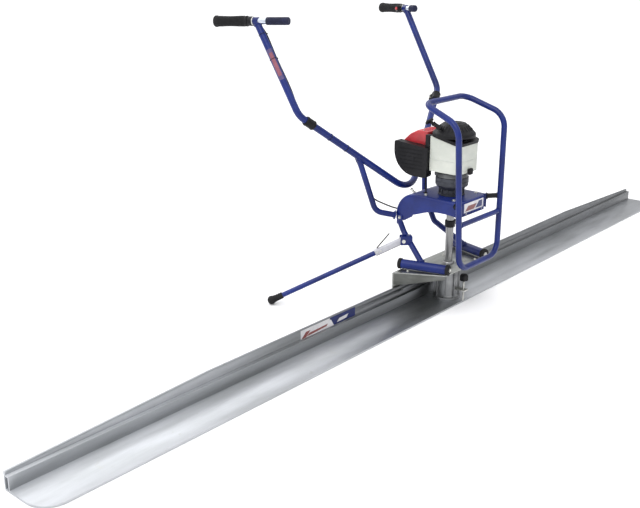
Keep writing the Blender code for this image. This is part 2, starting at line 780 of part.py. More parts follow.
def make_throttle(bar_frame):
    """A clamp on the left bar with a thumb lever on its inner side."""
    hole = bore(BAR_RADIUS)
    housing = ring("throttle_housing", hole, 0.0165, 0.0145, GRIP_START - GAP, "black_plastic", bar_frame, 16)
    block = box("add_throttle_block", (-0.004, -0.034, 0.0145), (0.018, -0.0125, GRIP_START - GAP), None, 0.002,
                matrix=bar_frame)
    weld(housing, block)
    tip_end = [(0.026, -0.004), (0.034, -0.001), (0.034, 0.004), (0.026, 0.006)]
    lever_outline = circle_arc((0, 0), 0.0085, 90, 270, 8) + tip_end
    place = bar_frame @ Matrix.Translation((-0.0080, -0.024, 0.0235))
    lever_frame = place @ facing((1, 0, 0), (0, 0, 0), (0, -0.85, 0.5))
    lever = prism("throttle_lever", [lever_outline], 0.004, "black_plastic", lever_frame)
    lever_hub = bar_frame @ Vector((-0.0080, -0.024, 0.0235))
    pivot("throttle_lever_axis", lever_hub, lever)
    return housing, lever


def make_stop_switch(bar_frame):
    hole = bore(BAR_RADIUS)
    housing = ring("stop_switch", hole, 0.0165, 0.0145, GRIP_START - GAP, "black_plastic", bar_frame, 16)
    block = box("add_switch_block", (-0.010, 0.0125, 0.0145), (0.012, 0.032, GRIP_START - GAP), None, 0.002,
                matrix=bar_frame)
    weld(housing, block)
    centre = Vector((0, 0.032, 0.0231))
    well = bar_frame @ facing(Y_AXIS, centre)
    cut(housing, drum_cutter("cut_button_well", bore(0.006), -0.007, 0.01, well, 16))
    button = turned("stop_button", [(0, 0.004), (0.0045, 0.004), (0.006, 0.0028), (0.006, -0.003), (0, -0.003)],
                    "red_plastic", well, 16)
    pivot("stop_button_axis", bar_frame @ centre, button)
    return housing, button


def stand_frame():
    """Local Z runs down the kickstand, and local X along its hinge pin."""
    along = STAND_FOOT - STAND_PIVOT
    pin = Vector((-along.y, along.x, 0)).normalized() * -1
    return facing(along, STAND_PIVOT, pin)


def make_kickstand():
    frame = stand_frame()
    outward = Vector((frame[0][2], frame[1][2], 0)).normalized()
    pin = Vector((frame[0][0], frame[1][0], frame[2][0]))
    length = (STAND_FOOT - STAND_PIVOT).length
    level = facing(Z_AXIS, STAND_PIVOT, pin)
    toward = 1 if (level.to_3x3() @ Y_AXIS).dot(outward) > 0 else -1
    depth = sorted((-0.034 * toward, 0.011 * toward))
    bracket = box("stand_bracket", (-0.0165, depth[0], -0.016), (0.0165, depth[1], 0.018), "blue_paint", 0.003,
                  matrix=level)
    slot = sorted((-0.0145 * toward, 0.03 * toward))
    cut(bracket, box("cut_bracket_slot", (-0.0108, slot[0], -0.03), (0.0108, slot[1], 0.03), None, matrix=level))
    leg_ends = mirrored(LEG_TOP, -1), mirrored(LEG_BEND, -1), mirrored((FOOT_REAR + FOOT_FRONT) / 2, -1)
    leg_path = bent(leg_ends, [0.03])
    cut(bracket, swept("cut_bracket_leg", leg_path, LEG_RADIUS + GAP, None))
    pin_hole = 0.0043
    cut(bracket, rod("cut_bracket_pin", STAND_PIVOT - pin * 0.03, STAND_PIVOT + pin * 0.03, pin_hole, None, 12))
    pin_frame = facing(pin, STAND_PIVOT)
    head = 0.0165 + GAP
    profile = [(0, head + 0.004), (0.007, head + 0.004), (0.007, head), (0.004, head), (0.004, -head),
               (0.007, -head), (0.007, -head - 0.004), (0, -head - 0.004)]
    turned("stand_pin", profile, "zinc_steel", pin_frame, 12)
    channel = box("stand_channel", (-0.0100, -0.0105, -0.0085), (0.0100, 0.0105, CHANNEL_LENGTH), "zinc_steel",
                  0.004, matrix=frame)
    up = 1 if (frame.to_3x3() @ Y_AXIS).z > 0 else -1
    low, high = sorted((up * 0.0090, up * 0.0133))
    weld(channel, box("add_release_lug", (-0.003, low, 0.093), (0.003, high, 0.099), None, matrix=frame))
    cut(channel, rod("cut_channel_pin", STAND_PIVOT - pin * 0.03, STAND_PIVOT + pin * 0.03, pin_hole, None, 12))
    socket = STAND_TUBE_RADIUS - 0.002
    tube_start = frame @ Vector((0, 0, CHANNEL_LENGTH - 0.030))
    cut(channel, rod("cut_channel_socket", tube_start, STAND_FOOT, socket + GAP, None))
    tube_profile = [
        (socket, CHANNEL_LENGTH - 0.030 + GAP),
        (socket, CHANNEL_LENGTH + GAP),
        (STAND_TUBE_RADIUS, CHANNEL_LENGTH + GAP),
        (STAND_TUBE_RADIUS, length - 0.012),
        (STAND_TUBE_RADIUS - WALL, length - 0.012),
        (STAND_TUBE_RADIUS - WALL - 0.002, CHANNEL_LENGTH - 0.030 + GAP),
    ]
    leg = turned("stand_leg", tube_profile[::-1], "blue_paint", frame, 16, closed=True)
    sleeve = bore(STAND_TUBE_RADIUS)
    tip = circle_arc((0, length), STAND_FOOT_RADIUS, -30, 90, 6)
    foot_profile = [
        (0, length - 0.012 + GAP),
        (sleeve, length - 0.012 + GAP),
        (sleeve, length - 0.045),
        (sleeve + 0.0025, length - 0.045),
        *tip,
    ]
    foot_profile[-1] = (0, length + STAND_FOOT_RADIUS)
    foot = turned("stand_foot", foot_profile[::-1], "black_rubber", frame, 16)
    lever = make_stand_lever(frame, up)
    pivot("kickstand_axis", STAND_PIVOT, channel, leg, foot, lever)


def make_stand_lever(frame, up):
    """The release lever on the upper side of the kickstand's channel."""
    hinge, tip = Vector((0, up * 0.0165, 0.098)), Vector((0, up * 0.047, 0.036))
    along = tip - hinge
    local = facing(along, hinge, X_AXIS)
    lever = box("stand_release", (-0.004, -0.0015, -0.004), (0.004, 0.0015, along.length), "zinc_steel", 0.001,
                matrix=frame @ local)
    pivot("stand_release_axis", frame @ hinge, lever)
    return lever


# ---------------------------------------------------------------- engine
def make_clutch():
    bottom, top = DECK_TOP + GAP, ENGINE_BOTTOM - GAP
    housing_profile = [
        (0.0125, bottom),
        (0.0125, 0.443),
        (0.046, 0.443),
        (0.046, top),
        (CLUTCH_RADIUS, top),
        (CLUTCH_RADIUS, 0.449),
        (0.044, 0.434),
        (0.044, 0.420),
        (0.049, 0.418),
        (0.049, bottom),
    ]
    turned("clutch_housing", housing_profile, "cast_aluminium", closed=True)
    drum_profile = [
        (0, 0.450),
        (0.0365, 0.450),
        (0.0365, 0.471),
        (0.0395, 0.471),
        (0.0395, 0.447),
        (0.010, 0.447),
        (0.010, 0.430),
        (0, 0.430),
    ]
    drum = turned("clutch_drum", drum_profile, "dark_steel")
    shoes = ring("clutch_shoes", bore(0.010), 0.0350, 0.4525, 0.4675, "dark_steel")
    for index, side in enumerate((-1, 1)):
        low, high = sorted((side * 0.014, side * 0.05))
        cut(shoes, box(f"cut_shoe_slot{index}", (low, -0.0015, 0.44), (high, 0.0015, 0.48), None))
    crankshaft = rod("crankshaft", (0, 0, 0.4510), (0, 0, 0.6320), 0.010, "zinc_steel")
    flywheel = turned(
        "flywheel",
        [
            (bore(0.010), 0.622),
            (0.018, 0.622),
            (0.020, 0.612),
            (0.052, 0.612),
            (0.055, 0.620),
            (0.062, 0.620),
            (0.062, 0.6095),
            (bore(0.010), 0.6095),
        ],
        "cast_aluminium",
        closed=True,
    )
    return drum, shoes, crankshaft, flywheel


def make_engine_block():
    """Crankcase with its base ring, and the finned cylinder lying towards the operator."""
    block = box("engine_block", (-0.046, -0.032, ENGINE_BOTTOM), (0.046, 0.050, 0.606), "cast_aluminium", 0.004, 1)
    base = [(0, 0.500), (0.052, 0.500), (0.057, 0.495), (0.057, ENGINE_BOTTOM), (0, ENGINE_BOTTOM)]
    weld(block, turned("add_base_ring", base, None))
    cylinder_frame = facing(Y_AXIS, (0, 0.040, CYLINDER_Z))
    profile = [(0, 0.120), (0.016, 0.120), (0.018, 0.112)]
    fins, pitch = 5, 0.017
    for i in range(fins):
        top = 0.108 - i * pitch
        profile += [(0.026, top), (0.034, top), (0.034, top - 0.004), (0.026, top - 0.004)]
    profile += [(0.026, 0), (0, 0)]
    weld(block, turned("add_cylinder", profile, None, cylinder_frame, 16))
    cut(block, rod("cut_crank_bore", (0, 0, 0.47), (0, 0, 0.62), 0.0105, None, 20))


def tank_block(name, finish, inset):
    """A block that wraps the front and both sides of the crankcase. A cutter for its hollow has an inset."""
    half, slot = TANK_HALF - inset, 0.0485 + inset
    front, rear, slot_front = TANK_FRONT + inset, TANK_REAR - inset, -0.0345 - inset
    radius = 0.020 - inset
    left_corner = circle_arc((-half + radius, front + radius), radius, 180, 270, 5)
    right_corner = circle_arc((half - radius, front + radius), radius, 270, 360, 5)
    outline = [(-half, rear), *left_corner, *right_corner, (half, rear), (slot, rear), (slot, slot_front),
               (-slot, slot_front), (-slot, rear)]
    height = TANK_TOP - TANK_BOTTOM - 2 * inset
    middle = Matrix.Translation((0, 0, (TANK_TOP + TANK_BOTTOM) / 2))
    return prism(name, [outline], height, finish, middle)


def make_tank():
    tank = tank_block("fuel_tank", "tank_plastic", 0)
    add_bevel(tank, 0.003, 2)
    neck_direction = Vector((0.966, 0, 0.259)).normalized()
    neck_base = Vector((TANK_HALF - 0.006, -0.010, 0.570))
    neck_frame = facing(neck_direction, neck_base)
    weld(tank, drum_cutter("add_filler_neck", 0.011, -0.002, 0.019, neck_frame, 20))
    cut(tank, tank_block("cut_tank_hollow", None, 0.0025))
    cut(tank, drum_cutter("cut_filler_bore", 0.008, -0.008, 0.03, neck_frame, 20))
    cap_profile = [
        (0, 0.0235),
        (0.0150, 0.0235),
        (0.0165, 0.0210),
        (0.0160, 0.0125),
        (bore(0.011), 0.0125),
        (bore(0.011), 0.0193),
        (0, 0.0193),
    ]
    cap = turned("fuel_cap", cap_profile, "black_plastic", neck_frame, 20)
    pivot("fuel_cap_axis", neck_base, cap)
    box("tank_bumper", (-0.012, TANK_FRONT - GAP - 0.012, 0.497), (0.012, TANK_FRONT - GAP, 0.520), "black_rubber",
        0.004)


def make_starter():
    bottom = TANK_TOP + GAP
    ceiling = DOME_TOP - 0.003
    shell = turned(
        "starter_housing",
        [
            (0, DOME_TOP),
            (0.042, DOME_TOP),
            (0.046, DOME_TOP - 0.0015),
            (0.0690, 0.658),
            (DOME_RADIUS, 0.635),
            (DOME_RADIUS, bottom),
            (DOME_RADIUS - 0.003, bottom),
            (DOME_RADIUS - 0.003, 0.634),
            (0.066, 0.656),
            (0.043, ceiling),
            (0.006, ceiling),
            (0.006, 0.636),
            (0, 0.636),
        ],
        "black_plastic",
    )
    eyelet_start = STARTER_GRIP - PULL * 0.050
    eyelet_end = STARTER_GRIP - PULL * 0.0130
    weld(shell, rod("add_rope_eyelet", eyelet_start, eyelet_end, 0.0075, None, 12))
    grip_frame = facing(PULL, STARTER_GRIP, X_AXIS)
    grip = box("starter_grip", (-0.023, -0.0075, -0.006), (0.023, 0.0075, 0.008), "black_plastic", 0.004,
               matrix=grip_frame)
    stem = rod("add_grip_stem", STARTER_GRIP - PULL * 0.0122, STARTER_GRIP, 0.005, None, 12)
    weld(grip, stem)
    pivot("starter_grip_axis", STARTER_GRIP, grip)
    reel_profile = [
        (bore(0.006, 24), 0.652),
        (0.030, 0.652),
        (0.030, 0.650),
        (0.024, 0.648),
        (0.024, 0.642),
        (0.030, 0.640),
        (0.030, 0.638),
        (bore(0.006, 24), 0.638),
    ]
    return turned("starter_reel", reel_profile, "zinc_steel", closed=True)


def make_covers():
    outside = [(0.055, 0.588), (0.055, 0.642), (0.122, 0.642), (0.160, 0.625), (0.192, 0.597), (0.192, 0.588)]
    inside = [(0.040, 0.570), (0.040, 0.6385), (0.121, 0.6385), (0.158, 0.6218), (0.1885, 0.595), (0.1885, 0.570)]
    cover = prism("cylinder_cover", [outside], 0.100, "red_plastic", YZ_PLANE)
    add_bevel(cover, 0.006, 2)
    cut(cover, prism("cut_cover_hollow", [inside], 0.093, None, YZ_PLANE))
    cut(cover, drum_cutter("cut_cover_front", DOME_RADIUS + 0.0010, 0.56, 0.67))
    outline = [
        *circle_arc((0.070, 0.488), 0.012, 180, 270, 4),
        *circle_arc((0.115, 0.566), 0.090, -90, 0, 9),
        *circle_arc((0.197, 0.592), 0.008, 0, 90, 3),
        (0.058, 0.588),
    ]
    middle = Matrix.Translation((-0.0685, 0, 0)) @ YZ_PLANE
    air = prism("air_cleaner", [outline], 0.033, "black_plastic", middle)
    add_bevel(air, 0.005, 2)


def make_carburettor():
    box("carburettor", (-0.0505, 0.078, 0.508), (-0.0365, 0.138, 0.583), "zinc_steel", 0.002)


def make_muffler():
    muffler = box("muffler", (0.0375, 0.066, 0.486), (0.094, 0.160, 0.576), "dark_steel", 0.009, 3)
    weld(muffler, rod("add_outlet", (0.066, 0.150, 0.500), (0.066, 0.172, 0.494), 0.007, None, 12))
    cut(muffler, box("cut_muffler_hollow", (0.043, 0.0715, 0.4915), (0.0885, 0.1545, 0.5705), None))
    cut(muffler, rod("cut_outlet_bore", (0.066, 0.140, 0.5025), (0.066, 0.180, 0.492), 0.005, None, 12))


def make_plug_cap():
    cap_frame = facing(Y_AXIS, (0, 0.1603 + GAP, CYLINDER_Z))
    profile = [(0, 0.026), (0.008, 0.026), (0.0095, 0.022), (0.0095, 0.010), (0.012, 0.008), (0.012, 0), (0, 0)]
    turned("spark_plug_cap", profile, "black_rubber", cap_frame, 16)


# ---------------------------------------------------------------- throttle cable
CABLE_RADIUS = 0.0028
CABLE_HOLE_RADIUS = 0.0065
REAR_HOLE = Vector((-0.080, DECK_REAR - 0.002, 0.338))
TOP_HOLE = Vector((-0.050, 0.082, DECK_TOP - 0.002))
CABLE_HOLES = [
    ("cut_cable_rear", REAR_HOLE - Vector((0.004, -0.012, -0.002)), REAR_HOLE - Vector((-0.004, 0.012, 0.002))),
    ("cut_cable_top", TOP_HOLE - Z_AXIS * 0.01, TOP_HOLE + Z_AXIS * 0.01),
]


def beside_tube(side, share, offset):
    """A point beside the lower tube, on its inner rear side."""
    place = lower_tube_point(side, share)
    along = (mirrored(HANDLE_CORNER, side) - YOKE_APEX).normalized()
    hint = Vector((0.7, 0.7, 0))
    return place + (hint - along * hint.dot(along)).normalized() * offset


def make_cable(handle_frame):
    lower = [
        beside_tube(-1, 0.9290, 0.0216),
        beside_tube(-1, 0.870, 0.0215),
        beside_tube(-1, 0.810, 0.0170),
        beside_tube(-1, 0.660, 0.0165),
        beside_tube(-1, 0.540, 0.0180),
        Vector((-0.198, 0.290, 0.520)),
        Vector((-0.172, 0.268, 0.450)),
        Vector((-0.160, 0.262, 0.405)),
        Vector((-0.140, 0.250, 0.375)),
        Vector((-0.115, 0.222, 0.356)),
        REAR_HOLE + Vector((-0.006, 0.014, 0.002)),
        REAR_HOLE + Vector((0.006, -0.020, 0.002)),
        Vector((-0.058, 0.110, 0.366)),
        TOP_HOLE - Z_AXIS * 0.010,
        TOP_HOLE + Z_AXIS * 0.030,
        Vector((-0.0440, 0.087, 0.480)),
        Vector((-0.0435, 0.088, 0.508 - 2 * GAP)),
    ]
    swept("throttle_cable", smooth_route(lower, 3), CABLE_RADIUS, "black_rubber", resolution=1)
    split = lower_tube_point(-1, SPLIT_SHARE)
    upper = [
        handle_frame @ Vector((0.012, -0.024, 0.0128)),
        handle_frame @ Vector((0.0125, -0.024, 0.0040)),
        mirrored(TEE, -1).lerp(mirrored(HANDLE_CORNER, -1), 0.14) + Vector((0.0200, 0, 0)),
        mirrored(TEE, -1).lerp(mirrored(HANDLE_CORNER, -1), 0.40) + Vector((0.0175, 0, 0)),
        mirrored(TEE, -1).lerp(mirrored(HANDLE_CORNER, -1), 0.75) + Vector((0.0185, 0, 0)),
        beside_tube(-1, 0.985, 0.0216),
        beside_tube(-1, 0.9310, 0.0216),
    ]
    cable = swept("upper_throttle_cable", smooth_route(upper, 3), CABLE_RADIUS, "black_rubber", resolution=1)
    axis = bpy.data.objects["left_handle_axis"]
    cable.parent = axis
    cable.matrix_parent_inverse = Matrix.Translation(-split)


# ---------------------------------------------------------------- assembly
def main():
    make_board()
    make_base_plate()
    weight, shaft = make_exciter()
    make_post()
    make_front_clamp()
    make_rear_knobs()
    make_feet()
    make_deck()
    make_cage()
    make_yoke()
    drum, shoes, crankshaft, flywheel = make_clutch()
    pivot("drive_axis", (0, 0, 0), weight, shaft, drum)
    reel = make_starter()
    pivot("engine_axis", (0, 0, ENGINE_BOTTOM), shoes, crankshaft, flywheel)
    pivot("reel_axis", (0, 0, DOME_TOP), reel)
    make_engine_block()
    make_tank()
    make_covers()
    make_carburettor()
    make_muffler()
    make_plug_cap()
    frames = {}
    for label, side in (("left", -1), ("right", 1)):
        *pieces, frames[label] = make_handle(label, side)
        maker = make_throttle if label == "left" else make_stop_switch
        pieces += maker(frames[label])
        pivot(f"{label}_handle_axis", lower_tube_point(side, SPLIT_SHARE), *pieces)
    make_kickstand()
    make_cable(frames["left"])


clear_scene()
PARTS = new_collection("power_screed")
CUTTERS = new_collection("cutters")
CUTTERS.hide_render = True
main()
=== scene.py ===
"""Looks for the power screed: detailed pieces over the CAD frame, procedural materials, light and camera."""

import json
from math import acos, atan, ceil, cos, degrees, pi, radians, sin, sqrt, tan

import bmesh
import bpy
from mathutils import Matrix, Quaternion, Vector

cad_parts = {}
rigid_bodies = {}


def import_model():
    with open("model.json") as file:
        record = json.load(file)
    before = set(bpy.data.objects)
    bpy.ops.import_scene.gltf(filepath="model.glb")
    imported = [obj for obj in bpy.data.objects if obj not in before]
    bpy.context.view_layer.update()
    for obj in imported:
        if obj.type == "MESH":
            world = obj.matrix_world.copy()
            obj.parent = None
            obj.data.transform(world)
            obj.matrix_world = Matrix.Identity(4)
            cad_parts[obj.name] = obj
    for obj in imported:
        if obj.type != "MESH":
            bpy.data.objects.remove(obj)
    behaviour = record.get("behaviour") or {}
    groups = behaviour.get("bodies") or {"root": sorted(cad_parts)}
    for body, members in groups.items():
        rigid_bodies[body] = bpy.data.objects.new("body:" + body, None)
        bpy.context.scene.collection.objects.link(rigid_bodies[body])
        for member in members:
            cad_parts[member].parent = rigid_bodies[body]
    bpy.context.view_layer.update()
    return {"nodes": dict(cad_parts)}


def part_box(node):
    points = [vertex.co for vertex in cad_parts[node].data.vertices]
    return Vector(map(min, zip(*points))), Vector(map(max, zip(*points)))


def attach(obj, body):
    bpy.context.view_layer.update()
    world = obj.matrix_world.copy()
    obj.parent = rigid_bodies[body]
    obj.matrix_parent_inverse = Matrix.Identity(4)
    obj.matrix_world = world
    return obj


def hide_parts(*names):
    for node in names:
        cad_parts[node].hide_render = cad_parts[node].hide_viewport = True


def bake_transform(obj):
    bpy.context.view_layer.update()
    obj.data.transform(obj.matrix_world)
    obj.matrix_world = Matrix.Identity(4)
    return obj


for leftover in list(bpy.data.objects):
    bpy.data.objects.remove(leftover)
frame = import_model()

X_AXIS, Y_AXIS, Z_AXIS = Vector((1, 0, 0)), Vector((0, 1, 0)), Vector((0, 0, 1))
YZ_PLANE = Matrix(((0, 0, 1, 0), (1, 0, 0, 0), (0, 1, 0, 0), (0, 0, 0, 1)))
XZ_PLANE = Matrix(((1, 0, 0, 0), (0, 0, -1, 0), (0, 1, 0, 0), (0, 0, 0, 1)))


def at(x, y, z):
    return Vector((x, y, z))


def shift(x, y, z):
    return Matrix.Translation((x, y, z))


def spin(angle, axis="Z"):
    return Matrix.Rotation(radians(angle), 4, axis)


SIDES = (("left", -1), ("right", 1))

# ---------------------------------------------------------------- dimensions shared with the CAD model
TUBE_RADIUS = 0.0127
CAGE_RADIUS = 0.011
YOKE_APEX = at(0.0, 0.183, 0.386)
HANDLE_CORNER = at(0.431, 0.369, 0.716)
SPLIT_SHARE = 0.912
STRUT_CORNER = at(0.16, 0.23, 0.335)
STRUT_END = at(0.1, 0.18, 0.317)
TEE = at(0.445, 0.556, 1.032)
BAR_DIRECTION = at(0.277, 0.96, -0.035).normalized()
BAR_RADIUS = 0.011
BAR_REAR = 0.17
BAR_FRONT = {"left": 0.13, "right": 0.065}
STUB_GRIP = {"left": 0.088, "right": 0.032}
STAND_PIVOT = at(-0.135, 0.117, 0.239)
STAND_FOOT = at(-0.494, 0.457, 0.0168)
PULL = at(-0.15, 0.9, 0.41).normalized()
STARTER_GRIP = at(-0.072, 0.058, 0.684)
FOOT_Z = 0.1625
ARC_Y, ARC_Z, ARC_RADIUS = 0.095, 0.325, 0.086
DECK_TOP = 0.411
TANK_SLOPE = 0.22
BOARD_HALF, RIB_TAPER_START = 1.829, 1.146
CABLE_RADIUS = 0.0028
CABLE_OFFSET = 0.0216


def node(nodes, kind, **inputs):
    """A new shader node with some of its inputs set."""
    made = nodes.new("ShaderNode" + kind)
    for key, value in inputs.items():
        made.inputs[key.replace("_", " ")].default_value = value
    return made


def surface(name, light, dark, rough, metallic=0.0, scale=12.0, stretch=(1, 1, 1), bump=0.08,
        grain=400.0, grain_stretch=(1, 1, 1), wear=None, coat=0.0, subsurface=0.0, specular=0.5, board=False):
    """A toned, finely grained material in object space. Wear is the colour, level and scale of worn patches."""
    made = bpy.data.materials.new(name)
    made.use_nodes = True
    nodes, links = made.node_tree.nodes, made.node_tree.links
    shader = nodes["Principled BSDF"]
    settings = {"Metallic": metallic, "Specular IOR Level": specular, "Coat Weight": coat,
        "Coat Roughness": 0.12, "Subsurface Weight": subsurface}
    if subsurface:
        settings |= {"Subsurface Radius": (0.02, 0.02, 0.016), "Subsurface Scale": 0.5}
    for key, value in settings.items():
        shader.inputs[key].default_value = value
    place = node(nodes, "TexCoord")

    def noise(size, along, detail=5.0, roughness=0.6):
        mapping = node(nodes, "Mapping", Scale=along)
        texture = node(nodes, "TexNoise", Scale=size, Detail=detail, Roughness=roughness)
        links.new(place.outputs["Object"], mapping.inputs["Vector"])
        links.new(mapping.outputs["Vector"], texture.inputs["Vector"])
        return texture.outputs["Fac"]

    ramp = node(nodes, "ValToRGB")
    for element, position, tone in zip(ramp.color_ramp.elements, (0.32, 0.66), (dark, light)):
        element.position = position
        element.color = (*tone, 1)
    links.new(noise(scale, stretch), ramp.inputs["Fac"])
    colour = ramp.outputs["Color"]
    if wear:
        worn, level, size = wear
        edge = node(nodes, "MapRange", From_Min=level, From_Max=level + 0.06)
        links.new(noise(size, (1, 1, 1), 8.0, 0.75), edge.inputs["Value"])
        mix = node(nodes, "Mix")
        mix.data_type = "RGBA"
        mix.inputs[7].default_value = (*worn, 1)
        links.new(edge.outputs["Result"], mix.inputs["Factor"])
        links.new(colour, mix.inputs[6])
        colour = mix.outputs[2]
    # Painted light on the board: the rib is painted darker as shade, and both rib and flange are painted
    # brighter towards the left end
    if board:
        colour = board_painted_light(nodes, links, place, colour)
    links.new(colour, shader.inputs["Base Color"])
    shine = node(nodes, "MapRange", To_Min=rough[0], To_Max=rough[1])
    links.new(noise(scale * 3.1, stretch, 6.0), shine.inputs["Value"])
    links.new(shine.outputs["Result"], shader.inputs["Roughness"])
    relief = node(nodes, "Bump", Strength=bump, Distance=0.001)
    links.new(noise(grain, grain_stretch, 3.0), relief.inputs["Height"])
    links.new(relief.outputs["Normal"], shader.inputs["Normal"])
    return made


def board_painted_light(nodes, links, place, colour):
    """Painted light: the rib is painted darker than the flange, as shade on its upright face, and both are
    painted brighter towards the left end, a painted highlight.
    """
    split = node(nodes, "SeparateXYZ")
    links.new(place.outputs["Object"], split.inputs[0])

    def span(axis, first, last, start, end):
        made = node(nodes, "MapRange", From_Min=first, From_Max=last, To_Min=start, To_Max=end)
        made.interpolation_type = "SMOOTHSTEP"
        links.new(split.outputs[axis], made.inputs["Value"])
        return made.outputs["Result"]

    tone = node(nodes, "Mix")
    links.new(span("Y", 0.067, 0.0695, 0.0, 1.0), tone.inputs["Factor"])
    links.new(span("X", -1.75, -0.3, 1.1, 1.04), tone.inputs[2])
    links.new(span("X", -1.75, -0.3, 1.1, 0.54), tone.inputs[3])
    scaled = node(nodes, "VectorMath")
    scaled.operation = "SCALE"
    links.new(colour, scaled.inputs[0])
    links.new(tone.outputs[0], scaled.inputs["Scale"])
    return scaled.outputs[0]


BLUE = surface("blue_powder_coat", (0.009, 0.024, 0.175), (0.005, 0.012, 0.095), (0.24, 0.42),
    scale=9, bump=0.1, grain=900, wear=((0.02, 0.042, 0.24), 0.7, 60), coat=0.06, specular=0.3)
# board=True paints shade on the rib and a brighter left end into this finish
BOARD = surface("mill_aluminium", (0.5, 0.515, 0.54), (0.38, 0.395, 0.405), (0.3, 0.5),
    1.0, scale=5, stretch=(0.5, 3, 3), bump=0.12, grain=260, grain_stretch=(0.05, 3, 3),
    wear=((0.42, 0.43, 0.43), 0.6, 14), board=True)
CAST = surface("cast_aluminium", (0.17, 0.175, 0.18), (0.1, 0.103, 0.105), (0.38, 0.6), 1.0,
    scale=25, bump=0.35, grain=700, wear=((0.24, 0.24, 0.24), 0.7, 45))
PLATE = surface("plate_aluminium", (0.44, 0.45, 0.43), (0.33, 0.34, 0.32), (0.3, 0.48), 1.0,
    scale=14, stretch=(1, 3, 1), bump=0.12, grain=500, grain_stretch=(0.3, 4, 1))
HOUSING = surface("exciter_cast", (0.36, 0.365, 0.37), (0.24, 0.245, 0.25), (0.38, 0.6),
    1.0, scale=25, bump=0.35, grain=700, wear=((0.2, 0.2, 0.2), 0.68, 45))
# Painted shade: a darker copy of the plate aluminium for the folded skirts; its lighter patches are wear
SKIRT_PAINTED_SHADE = surface("skirt_painted_shade", (0.17, 0.175, 0.165), (0.1, 0.105, 0.095), (0.4, 0.62), 0.7,
    scale=14, stretch=(1, 1, 3), bump=0.15, grain=500, grain_stretch=(0.3, 1, 4),
    wear=((0.27, 0.27, 0.25), 0.68, 40))
DARK_CAST = surface("dark_cast_metal", (0.06, 0.064, 0.078), (0.03, 0.032, 0.04),
    (0.4, 0.6), 0.5, scale=25, bump=0.3, grain=700, wear=((0.11, 0.11, 0.12), 0.66, 50))
ZINC = surface("zinc_plate", (0.66, 0.66, 0.63), (0.5, 0.5, 0.47), (0.22, 0.42), 1.0, scale=40,
    bump=0.1, grain=600, wear=((0.42, 0.41, 0.37), 0.66, 70))
POST = surface("post_steel", (0.36, 0.36, 0.36), (0.26, 0.26, 0.26), (0.3, 0.48), 1.0, scale=30,
    stretch=(3, 3, 0.4), bump=0.12, grain=500, grain_stretch=(4, 4, 0.2))
BARE = surface("bare_bar", (0.62, 0.66, 0.74), (0.48, 0.52, 0.6), (0.18, 0.32), 1.0, scale=40,
    bump=0.06, grain=800)
# Heat-darkened steel, also used for the painted shade strips on the kickstand channel
HEAT_DARK_AND_SHADE = surface("heat_dark_steel_and_shade", (0.13, 0.125, 0.12), (0.06, 0.055, 0.052), (0.42, 0.66), 0.8,
    scale=20, bump=0.25, grain=500, wear=((0.2, 0.13, 0.08), 0.62, 28))
BLACK = surface("black_nylon", (0.01, 0.01, 0.012), (0.005, 0.005, 0.006), (0.34, 0.52),
    scale=30, bump=0.25, grain=1100, wear=((0.018, 0.018, 0.02), 0.66, 60), specular=0.22)
RUBBER = surface("black_rubber", (0.014, 0.014, 0.015), (0.007, 0.007, 0.008), (0.58, 0.82),
    scale=40, bump=0.3, grain=900, wear=((0.03, 0.029, 0.029), 0.68, 50), specular=0.25)
DARK_STUB = surface("navy_grip", (0.013, 0.016, 0.05), (0.008, 0.01, 0.028), (0.42, 0.62),
    scale=40, bump=0.25, grain=900, wear=((0.03, 0.035, 0.08), 0.67, 70), specular=0.25)
TANK = surface("tank_polyethylene", (0.64, 0.66, 0.6), (0.52, 0.545, 0.49), (0.3, 0.46),
    scale=9, stretch=(1, 1, 1.6), bump=0.12, grain=600, wear=((0.54, 0.56, 0.49), 0.7, 22), subsurface=0.25)
RED = surface("red_plastic", (0.52, 0.03, 0.04), (0.33, 0.018, 0.025), (0.24, 0.4), scale=18,
    bump=0.12, grain=900, coat=0.25)
WHITE_PAINT = surface("white_channel", (0.54, 0.54, 0.58), (0.42, 0.42, 0.46), (0.32, 0.5),
    scale=25, bump=0.12, grain=700, wear=((0.4, 0.36, 0.33), 0.66, 50))
LABEL_WHITE = surface("label_white", (0.74, 0.73, 0.74), (0.62, 0.61, 0.63), (0.25, 0.38),
    scale=40, bump=0.05, grain=900)
LABEL_RED = surface("label_red", (0.26, 0.075, 0.07), (0.17, 0.05, 0.05), (0.25, 0.38),
    scale=40, bump=0.05, grain=900)
STICKER_EDGE = surface("sticker_edge", (0.13, 0.1, 0.21), (0.08, 0.06, 0.15), (0.3, 0.44),
    scale=40, bump=0.05, grain=900, specular=0.3)
STICKER_RED = surface("sticker_red", (0.3, 0.1, 0.13), (0.2, 0.07, 0.1), (0.3, 0.44), scale=30,
    bump=0.05, grain=900, specular=0.3)
LABEL_BLUE = surface("label_blue", (0.016, 0.026, 0.14), (0.01, 0.016, 0.09), (0.25, 0.38),
    scale=40, bump=0.05, grain=900)
BRASS = surface("plated_screw", (0.58, 0.57, 0.52), (0.44, 0.43, 0.39), (0.24, 0.4), 1.0,
    scale=90, bump=0.1, grain=900)
ROPE = surface("braided_rope", (0.5, 0.5, 0.47), (0.1, 0.1, 0.1), (0.6, 0.8), scale=300,
    bump=0.3, grain=1500)


# ---------------------------------------------------------------- mesh helpers
def facing(direction, origin=(0, 0, 0), side=None):
    """A matrix whose Z runs along direction. Its X is side, made square to it."""
    z = Vector(direction).normalized()
    hint = Vector(side) if side is not None else (X_AXIS if abs(z.x) < 0.9 else Y_AXIS)
    x = (hint - z * hint.dot(z)).normalized()
    turn = Matrix((x, z.cross(x), z)).transposed().to_4x4()
    return Matrix.Translation(Vector(origin)) @ turn


def join(parts):
    """One bmesh out of several."""
    bm = bmesh.new()
    for part in parts:
        mesh = bpy.data.meshes.new("part")
        part.to_mesh(mesh)
        part.free()
        bm.from_mesh(mesh)
        bpy.data.meshes.remove(mesh)
    return bm


